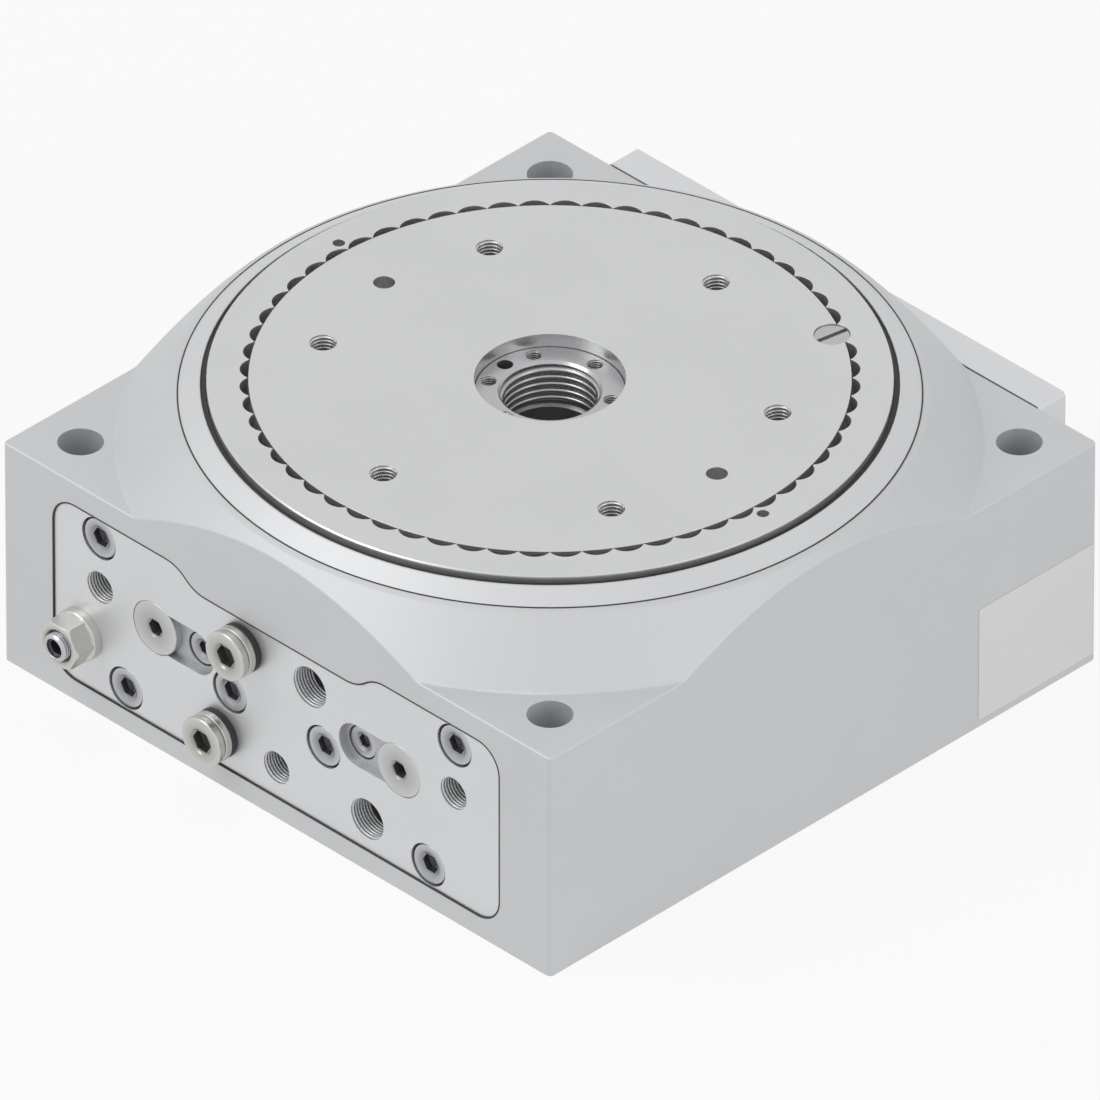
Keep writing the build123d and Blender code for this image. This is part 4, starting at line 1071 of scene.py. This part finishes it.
@dataclass(frozen=True)
class FrontFasteners:
    """Screws, plugs and stops of the connection plate, with sizes in millimetres."""

    screw: CapScrew = CapScrew(
        shank=5.0, head=8.0, height=6.0, hexagon=7.0, top=-0.5, tip=-25.5, dish=5.3
    )
    screw_spots: tuple[Spot, ...] = (
        (-91.0, 77.3), (91.0, 77.3), (-77.5, 17.8), (77.5, 17.8), (-24.0, 43.0), (24.0, 43.0)
    )
    clamp: CapScrew = CapScrew(
        shank=4.0, head=6.5, height=5.0, hexagon=5.0, top=-3.5, tip=-18.5, dish=4.0,
        head_edge=0.6,
    )
    clamp_spots: tuple[Spot, ...] = ((-41.0, 52.0), (41.0, 52.0))
    plug_spots: tuple[Spot, ...] = ((-17.2, 66.6), (-29.6, 22.6))
    plug_stem: float = 8.28
    plug_tip: float = -9.5
    plug_flange: float = 9.9
    plug_flange_height: float = 2.6
    plug_groove: float = 0.55
    plug_groove_step: float = 0.3
    plug_head: float = 9.8
    plug_edge: float = 0.35
    plug_top: float = 9.3
    plug_seal: float = 3.0
    plug_socket: HexSocket = HexSocket(
        hexagon=8.0, mouth=corner_radius(8.0) + 0.85, lead=0.7, depth=4.5, point=0.8
    )
    stop_spread: float = 62.5
    stop_height: float = 52.0
    stop: float = 11.0
    stop_edge: float = 0.4
    stop_tip: float = -21.3
    stop_socket: HexSocket = HexSocket(
        hexagon=6.0, mouth=corner_radius(6.0) + 0.65, lead=0.5, depth=5.0, point=1.2
    )

    @staticmethod
    def at_front(spots: tuple[Spot, ...]) -> tuple[Place, ...]:
        """Places on the connection plate's face.

        Args:
            spots: X and Z of each place.

        Returns:
            The places with the face's Y.
        """
        return tuple((x, FRONT, z) for x, z in spots)

    def plug(self) -> TurnedShape:
        """Plug with a stepped head and a thin groove between its steps.

        Returns:
            The turned shape.
        """
        seal, flange = self.plug_seal, self.plug_flange
        head, top = self.plug_head, self.plug_top
        neck = head - self.plug_groove
        lower = seal + self.plug_flange_height
        groove = [lower + step * self.plug_groove_step for step in range(4)]
        rims = (
            *tip_rims(self.plug_stem, self.plug_tip, 1.0),
            Rim(self.plug_stem, seal),
            Rim(flange, seal, 0.2),
            Rim(flange, groove[0], 0.2),
            # Painted shade in the groove between the head's steps.
            Rim(neck, groove[1], 0.05, shelter=0.8),
            Rim(neck, groove[2], 0.05, shelter=0.8),
            Rim(head, groove[3], 0.15),
            Rim(head, top - self.plug_edge, 0.15),
            Rim(head - self.plug_edge, top, 0.1),
            *self.plug_socket.rims(top),
        )
        return TurnedShape("port_plug_bodies", rims, sides=60)

    def seal(self) -> TurnedShape:
        """Black ring between a plug's flange and the plate.

        Returns:
            The turned shape.
        """
        inner, outer = self.plug_stem + 0.07, self.plug_flange - 0.05
        rims = (
            Rim(inner, 0.02, 0.1),
            Rim(outer, 0.02, 0.8),
            Rim(outer, self.plug_seal - 0.02, 0.8),
            Rim(inner, self.plug_seal - 0.02, 0.1),
        )
        return TurnedShape("port_plug_rings", rims, ring=True, sides=60, ease_steps=4)

    def stop_disc(self, name: str) -> TurnedShape:
        """Round stop, flush with the plate.

        Args:
            name: Name of the piece.

        Returns:
            The turned shape.
        """
        rims = (
            *tip_rims(self.stop, self.stop_tip, 0.6),
            Rim(self.stop, -self.stop_edge, 0.1),
            Rim(self.stop - self.stop_edge, 0.0, 0.1),
            *self.stop_socket.rims(0.0),
        )
        return TurnedShape(name, rims, sides=60)

    def build(self, pieces: TurnedPieces, finishes: Finishes) -> None:
        """Sets every fastener of the connection plate but the throttle's.

        Args:
            pieces: Sets the turned shapes.
            finishes: The materials.
        """
        screw = self.screw.shape("plate_screws")
        clamp = self.clamp.shape("clamp_screws")
        rubber = finishes.by_slot["seal_rubber"]
        for shape, node, slot, spots, finish in (
            (screw, "connection_screws", "screw_steel", self.screw_spots, finishes.screws),
            (clamp, "stop_clamp_screws", "screw_steel", self.clamp_spots, finishes.screws),
            (self.plug(), "port_plugs", "plug_metal", self.plug_spots, finishes.fittings),
            (self.seal(), "port_plug_seals", "seal_rubber", self.plug_spots, rubber),
        ):
            placing = Placing("base", node, slot, self.at_front(spots), OUT_OF_FRONT)
            pieces.set(shape, placing, finish)
        for side, name in ((-1, "left"), (1, "right")):
            node = f"stop_screw_{name}"
            spots = self.at_front(((side * self.stop_spread, self.stop_height),))
            placing = Placing(node, node, "screw_steel", spots, OUT_OF_FRONT)
            pieces.set(self.stop_disc(f"stop_disc_{name}"), placing, finishes.stops)


@dataclass(frozen=True)
class Throttle:
    """Threaded stud and its flanged lock nut, with sizes in millimetres."""

    spot: Place = (-100.0, FRONT, 31.3)
    stud: float = 5.5
    stud_top: float = 14.5
    stud_tip: float = -30.5
    pitch: float = 1.0
    thread_from: float = 11.3
    thread_turns: int = 2
    hexagon: float = 6.0
    socket_depth: float = 7.0
    recess: float = 3.8
    recess_depth: float = 1.6
    nut_hexagon: float = 17.6
    nut_top: float = 12.3
    nut_inset: float = 0.25
    flange: float = 10.3
    flange_height: float = 3.8
    cone: float = 0.577

    def stud_shape(self) -> TurnedShape:
        """Stud with grooves of thread above the nut and a deep socket.

        Returns:
            The turned shape.
        """
        flats = self.hexagon / 2
        top = self.stud_top
        thread = []
        for turn in range(self.thread_turns):
            start = self.thread_from + turn * self.pitch
            thread.append(Rim(self.stud, start + 0.15))
            # Painted shade in each thread groove.
            thread.append(Rim(self.stud - 0.5, start + 0.5, shelter=0.4))
            thread.append(Rim(self.stud, start + 0.85))
        ledge, floor = top - self.recess_depth, top - self.socket_depth
        rims = (
            *tip_rims(self.stud, self.stud_tip, 0.6),
            *thread,
            Rim(self.stud, top - 1.0, 0.2),
            Rim(self.stud - 0.9, top, 0.25),
            Rim(self.recess + 0.25, top, 0.1),
            # Painted shade in the recess and down the socket.
            Rim(self.recess, top - 0.3, shelter=0.3),
            Rim(self.recess, ledge, shelter=0.9),
            Rim(flats, ledge, six_sided=True, shelter=0.9),
            Rim(flats, floor, six_sided=True, shelter=1.0),
            Rim(0.0, floor - 1.0, shelter=1.0),
        )
        return TurnedShape("throttle_stud", rims)

    def nut_shape(self) -> TurnedShape:
        """Hexagon nut on a round flange, coned at its outer end.

        Returns:
            The turned shape.
        """
        flats = self.nut_hexagon / 2
        face = flats - self.nut_inset
        bore = self.stud + 0.1
        shoulder = self.nut_top - self.nut_inset * self.cone
        rims = (
            Rim(bore, 0.0),
            Rim(self.flange, 0.0, 0.15),
            Rim(self.flange, self.flange_height - 0.5, 0.4),
            Rim(self.flange - 0.6, self.flange_height, 0.1),
            Rim(flats, self.flange_height + 0.3, 0.0, six_sided=True, cone=0.2),
            Rim(flats, shoulder, 0.15, six_sided=True, cone=self.cone),
            Rim(face, self.nut_top, 0.2),
            # Painted shade down the nut's bore.
            Rim(bore + 1.2, self.nut_top, 0.1, shelter=0.3),
            Rim(bore, self.nut_top - 1.2, shelter=1.0),
        )
        return TurnedShape("throttle_lock_nut", rims, ring=True, sides=60)

    def build(self, pieces: TurnedPieces, finishes: Finishes) -> None:
        """Sets the stud and the nut.

        Args:
            pieces: Sets the turned shapes.
            finishes: The materials.
        """
        stud = Placing(
            "throttle_screw", "throttle_screw", "hardened_steel", (self.spot,), OUT_OF_FRONT
        )
        pieces.set(self.stud_shape(), stud, finishes.screws)
        nut = Placing("base", "throttle_nut", "plug_metal", (self.spot,), OUT_OF_FRONT)
        pieces.set(self.nut_shape(), nut, finishes.fittings)


@dataclass(frozen=True)
class RearFasteners:
    """Screws of the rear cover, with sizes in millimetres."""

    screw: CapScrew = CapScrew(
        shank=4.0, head=6.5, height=8.0, hexagon=6.0, top=-0.5, tip=-29.0, dish=4.6
    )
    face: float = 154.0
    across: tuple[float, ...] = (-98.0, -30.0, 30.0, 98.0)
    heights: tuple[float, ...] = (20.0, 84.0)

    def build(self, pieces: TurnedPieces, finishes: Finishes) -> None:
        """Sets the screws.

        Args:
            pieces: Sets the turned shapes.
            finishes: The materials.
        """
        spots = tuple((x, self.face, z) for x in self.across for z in self.heights)
        placing = Placing("base", "rear_cover_screws", "screw_steel", spots, OUT_OF_REAR)
        pieces.set(self.screw.shape("cover_screws"), placing, finishes.screws)


@dataclass(frozen=True)
class PocketSeal:
    """Thin black bead in the corner between the connection plate and its pocket."""

    half: float = 114.0
    bottom: float = 9.0
    top: float = 86.0
    dip: float = 78.5
    dip_half: float = 36.0
    dip_end: float = 56.0
    corner: float = 11.0
    gap: float = 0.22
    radius: float = 0.4
    sink: float = 0.3
    arc_steps: int = 8

    def arc(self, centre: Spot, radius: float, first: float, last: float) -> list[Spot]:
        """Points of an arc.

        Args:
            centre: Centre as X and Z.
            radius: Radius of the arc.
            first: First angle in degrees.
            last: Last angle in degrees.

        Returns:
            The points.
        """
        points = []
        for step in range(self.arc_steps + 1):
            angle = radians(first + (last - first) * step / self.arc_steps)
            points.append((centre[0] + radius * cos(angle), centre[1] + radius * sin(angle)))
        return points

    def line(self) -> list[Place]:
        """The plate's outline, moved out to the middle of the gap.

        Returns:
            The points, anticlockwise as seen from the front.
        """
        half, bottom = self.half + self.gap, self.bottom - self.gap
        top, dip = self.top + self.gap, self.dip + self.gap
        corner = self.corner + self.gap
        run = (self.dip_end - self.dip_half) / 2
        drop = (top - dip) / 2
        bend = (run * run + drop * drop) / (2 * drop)
        turn = degrees(asin(run / bend))
        right = [
            *self.arc((half - corner, bottom + corner), corner, -90.0, 0.0),
            *self.arc((half - corner, top - corner), corner, 0.0, 90.0),
            *self.arc((self.dip_end, top - bend), bend, 90.0, 90.0 + turn),
            *self.arc((self.dip_half, dip + bend), bend, -90.0 + turn, -90.0),
        ]
        left = [(-x, z) for x, z in reversed(right)]
        y = FRONT - self.sink
        return [(x, y, z) for x, z in right + left]

    def build(self, finishes: Finishes) -> bpy.types.Object:
        """Lays the bead.

        Args:
            finishes: Holds the rubber's material.

        Returns:
            The bead.
        """
        return BeadLayer("closed_bead").lay("pocket_seal", self.line(), self.radius, finishes)


def ring_of_points(radius: float, height: float, count: int, start: float) -> list[Place]:
    """Points evenly spaced on a circle about the table's axis.

    Args:
        radius: Radius of the circle in millimetres.
        height: Height of the circle in millimetres.
        count: How many points.
        start: Angle of the first point in degrees.

    Returns:
        The points.
    """
    angles = [radians(start + 360.0 / count * step) for step in range(count)]
    return [(radius * cos(angle), radius * sin(angle), height) for angle in angles]


@dataclass(frozen=True)
class CollarSeal:
    """Thin dark bead in the joint between the collar and the housing's rim."""

    joint: float = 134.65
    height: float = 117.85
    radius: float = 0.32
    points: int = 160

    def build(self, finishes: Finishes) -> bpy.types.Object:
        """Lays the bead.

        Args:
            finishes: Holds the rubber's material.

        Returns:
            The bead.
        """
        line = ring_of_points(self.joint, self.height, self.points, 0.0)
        return BeadLayer("round_bead").lay("collar_seal", line, self.radius, finishes)


@dataclass
class Threads:
    """Every thread that shows: table plate, centre column and air ports."""

    table_top: float = 124.4
    table_circle: float = 85.0
    column_top: float = 118.8
    column_circle: float = 23.0
    centre_step: float = 1.0
    small_ports: tuple[Spot, ...] = ((-90.5, 56.0), (90.5, 56.0), (0.0, 21.8))
    large_ports: tuple[Spot, ...] = ((17.2, 66.0), (46.4, 22.4))

    def sets(self) -> list[ThreadSet]:
        """The thread sets with their sizes in millimetres.

        Returns:
            One set for each size of hole.
        """
        small = list(FrontFasteners.at_front(self.small_ports))
        large = list(FrontFasteners.at_front(self.large_ports))
        return [
            ThreadSet(
                "table_threads", "table", "ground_steel", radius=5.0, pitch=1.5, depth=10.4,
                mouths=ring_of_points(self.table_circle, self.table_top, 6, 30.0), steps=28,
            ),
            ThreadSet(
                "column_threads", "base", "hardened_steel", radius=3.0, pitch=1.0, depth=12.0,
                mouths=ring_of_points(self.column_circle, self.column_top, 6, 30.0), steps=20,
            ),
            ThreadSet(
                "centre_thread", "base", "hardened_steel", radius=18.0, pitch=3.0, depth=18.0,
                mouths=[(0.0, 0.0, self.column_top - self.centre_step)], steps=96,
            ),
            ThreadSet(
                "small_port_threads", "base", "cover_alloy", radius=6.58, pitch=1.337,
                depth=10.5, mouths=small, turn=OUT_OF_FRONT, steps=32,
            ),
            ThreadSet(
                "large_port_threads", "base", "cover_alloy", radius=8.33, pitch=1.337,
                depth=10.5, mouths=large, turn=OUT_OF_FRONT, steps=40,
            ),
        ]

    def build(self, finishes: Finishes) -> None:
        """Cuts all sets.

        Args:
            finishes: The materials by slot.
        """
        cutter = ThreadCutter("thread_ridges")
        for thread in self.sets():
            cutter.cut(thread, finishes.by_slot[thread.slot])


@dataclass
class BareLabel:
    """Thin bare foil label on the right-hand face."""

    face: float = 140.0
    left: float = 79.2
    right: float = 138.2
    bottom: float = 3.1
    top: float = 51.9
    corner: float = 0.9
    thickness: float = 0.25
    border: float = 0.6
    border_depth: float = 0.12
    edge_share: float = 0.3
    arc_steps: int = 6

    def outline(self) -> list[Spot]:
        """Rounded rectangle as points of Y and Z.

        Returns:
            The points, anticlockwise as seen from +X.
        """
        corners = [
            (self.right - self.corner, self.bottom + self.corner, -90.0),
            (self.right - self.corner, self.top - self.corner, 0.0),
            (self.left + self.corner, self.top - self.corner, 90.0),
            (self.left + self.corner, self.bottom + self.corner, 180.0),
        ]
        points = []
        for y, z, start in corners:
            for step in range(self.arc_steps + 1):
                angle = radians(start + 90.0 * step / self.arc_steps)
                points.append((y + self.corner * cos(angle), z + self.corner * sin(angle)))
        return points

    def build(self, finishes: Finishes) -> bpy.types.Object:
        """Builds the label and sets it on the housing.

        Args:
            finishes: Holds the foil's material.

        Returns:
            The label.
        """
        shape = bmesh.new()
        base = [shape.verts.new((self.face * MM, y * MM, z * MM)) for y, z in self.outline()]
        back = shape.faces.new(base)
        grown = bmesh.ops.extrude_face_region(shape, geom=[back])
        lifted = [item for item in grown["geom"] if isinstance(item, bmesh.types.BMVert)]
        bmesh.ops.translate(shape, verts=lifted, vec=(self.thickness * MM, 0.0, 0.0))
        rim = [edge for edge in shape.edges if all(vertex in lifted for vertex in edge.verts)]
        edge = self.edge_share * self.thickness * MM
        bmesh.ops.bevel(
            shape, geom=rim, offset=edge, segments=2, profile=0.5, affect="EDGES"
        )
        front = max(shape.faces, key=lambda face: face.calc_center_median().x)
        border, depth = self.border * MM, self.border_depth * MM
        bmesh.ops.inset_region(shape, faces=[front], thickness=border, use_even_offset=True)
        bmesh.ops.inset_region(shape, faces=[front], thickness=depth, depth=-depth)
        bmesh.ops.recalc_face_normals(shape, faces=shape.faces)
        mesh = bpy.data.meshes.new("bare_label")
        shape.to_mesh(mesh)
        shape.free()
        mesh.materials.append(finishes.label)
        piece = put("bare_label", mesh)
        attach(piece, "base")
        log.info("set bare_label: %d faces", len(mesh.polygons))
        return piece


@dataclass(frozen=True)
class Lamp:
    """A round soft lamp, in metres and watts."""

    name: str
    place: Place
    size: float
    power: float


@dataclass
class Studio:
    """Pale floor, soft lamps and the long lens that gives the isometric view."""

    frame_width: float = 0.3984
    lens: float = 1500.0
    sensor: float = 36.0
    look_at: Place = (0.0, 0.0, 0.0481)
    floor_size: float = 12.0
    floor_grey: float = 0.88
    floor_glow: float = 0.88
    sky_level: float = 0.46
    lamps: tuple[Lamp, ...] = (
        Lamp("key_lamp", (-1.0, -1.6, 2.1), 1.6, 20.0),
        Lamp("side_lamp", (2.2, 0.2, 0.9), 1.4, 8.0),
    )

    def camera(self) -> None:
        """Sets the camera at the photograph's viewing angle."""
        data = bpy.data.cameras.new("camera")
        data.lens = self.lens
        data.sensor_width = self.sensor
        data.clip_start = 1.0
        data.clip_end = 100.0
        eye = put("camera", data)
        away = Vector((1.0, -1.0, 1.0)).normalized()
        distance = self.frame_width * self.lens / self.sensor
        eye.location = Vector(self.look_at) + away * distance
        eye.rotation_euler = (-away).to_track_quat("-Z", "Y").to_euler()
        bpy.context.scene.camera = eye

    def floor(self) -> None:
        """Lays the pale floor, which keeps the object's shadow."""
        half = self.floor_size / 2
        mesh = bpy.data.meshes.new("floor")
        corners = [(x * half, y * half, 0.0) for x, y in ((-1, -1), (1, -1), (1, 1), (-1, 1))]
        mesh.from_pydata(corners, [], [(0, 1, 2, 3)])
        sheet = ShaderSheet(bpy.data.materials.new("pale_floor"))
        grey = (self.floor_grey, self.floor_grey, self.floor_grey, 1.0)
        matt = sheet.add("ShaderNodeBsdfDiffuse", {}, {"Color": grey})
        glow = sheet.add("ShaderNodeEmission", {}, {"Color": WHITE, "Strength": 1.0})
        both = {0: sheet.seen() * self.floor_glow, 1: matt, 2: glow}
        mesh.materials.append(sheet.finish(sheet.add("ShaderNodeMixShader", {}, both)))
        put("floor", mesh)

    def sky(self) -> None:
        """Fills the world with soft light and shows it white to the camera and in gloss."""
        world = bpy.data.worlds.new("studio")
        bpy.context.scene.world = world
        sheet = ShaderSheet(world)
        dim = sheet.add(
            "ShaderNodeBackground", {}, {"Color": WHITE, "Strength": self.sky_level}
        )
        white = sheet.add("ShaderNodeBackground", {}, {"Color": WHITE, "Strength": 1.0})
        both = {0: sheet.seen(), 1: dim, 2: white}
        sheet.finish(sheet.add("ShaderNodeMixShader", {}, both))

    def hang_lamps(self) -> None:
        """Hangs a large key lamp at the upper left and a weaker one at the right."""
        for lamp in self.lamps:
            data = bpy.data.lights.new(lamp.name, "AREA")
            data.shape = "DISK"
            data.size = lamp.size
            data.energy = lamp.power
            hung = put(lamp.name, data)
            hung.location = lamp.place
            aim = Vector(self.look_at) - Vector(lamp.place)
            hung.rotation_euler = aim.to_track_quat("-Z", "Y").to_euler()

    def build(self) -> None:
        """Sets up camera, floor, world and lamps."""
        self.camera()
        self.floor()
        self.sky()
        self.hang_lamps()
        bpy.context.scene.view_settings.view_transform = "Standard"


def main() -> None:
    """Builds the looks in order."""
    logging.basicConfig(level=logging.INFO, format="%(name)s: %(message)s")
    Studio().build()
    finishes = Finishes()
    CarriedSolids(finishes).dress()
    pieces = TurnedPieces()
    FrontFasteners().build(pieces, finishes)
    Throttle().build(pieces, finishes)
    RearFasteners().build(pieces, finishes)
    PocketSeal().build(finishes)
    CollarSeal().build(finishes)
    Threads().build(finishes)
    BareLabel().build(finishes)


if __name__ == "__main__":
    main()
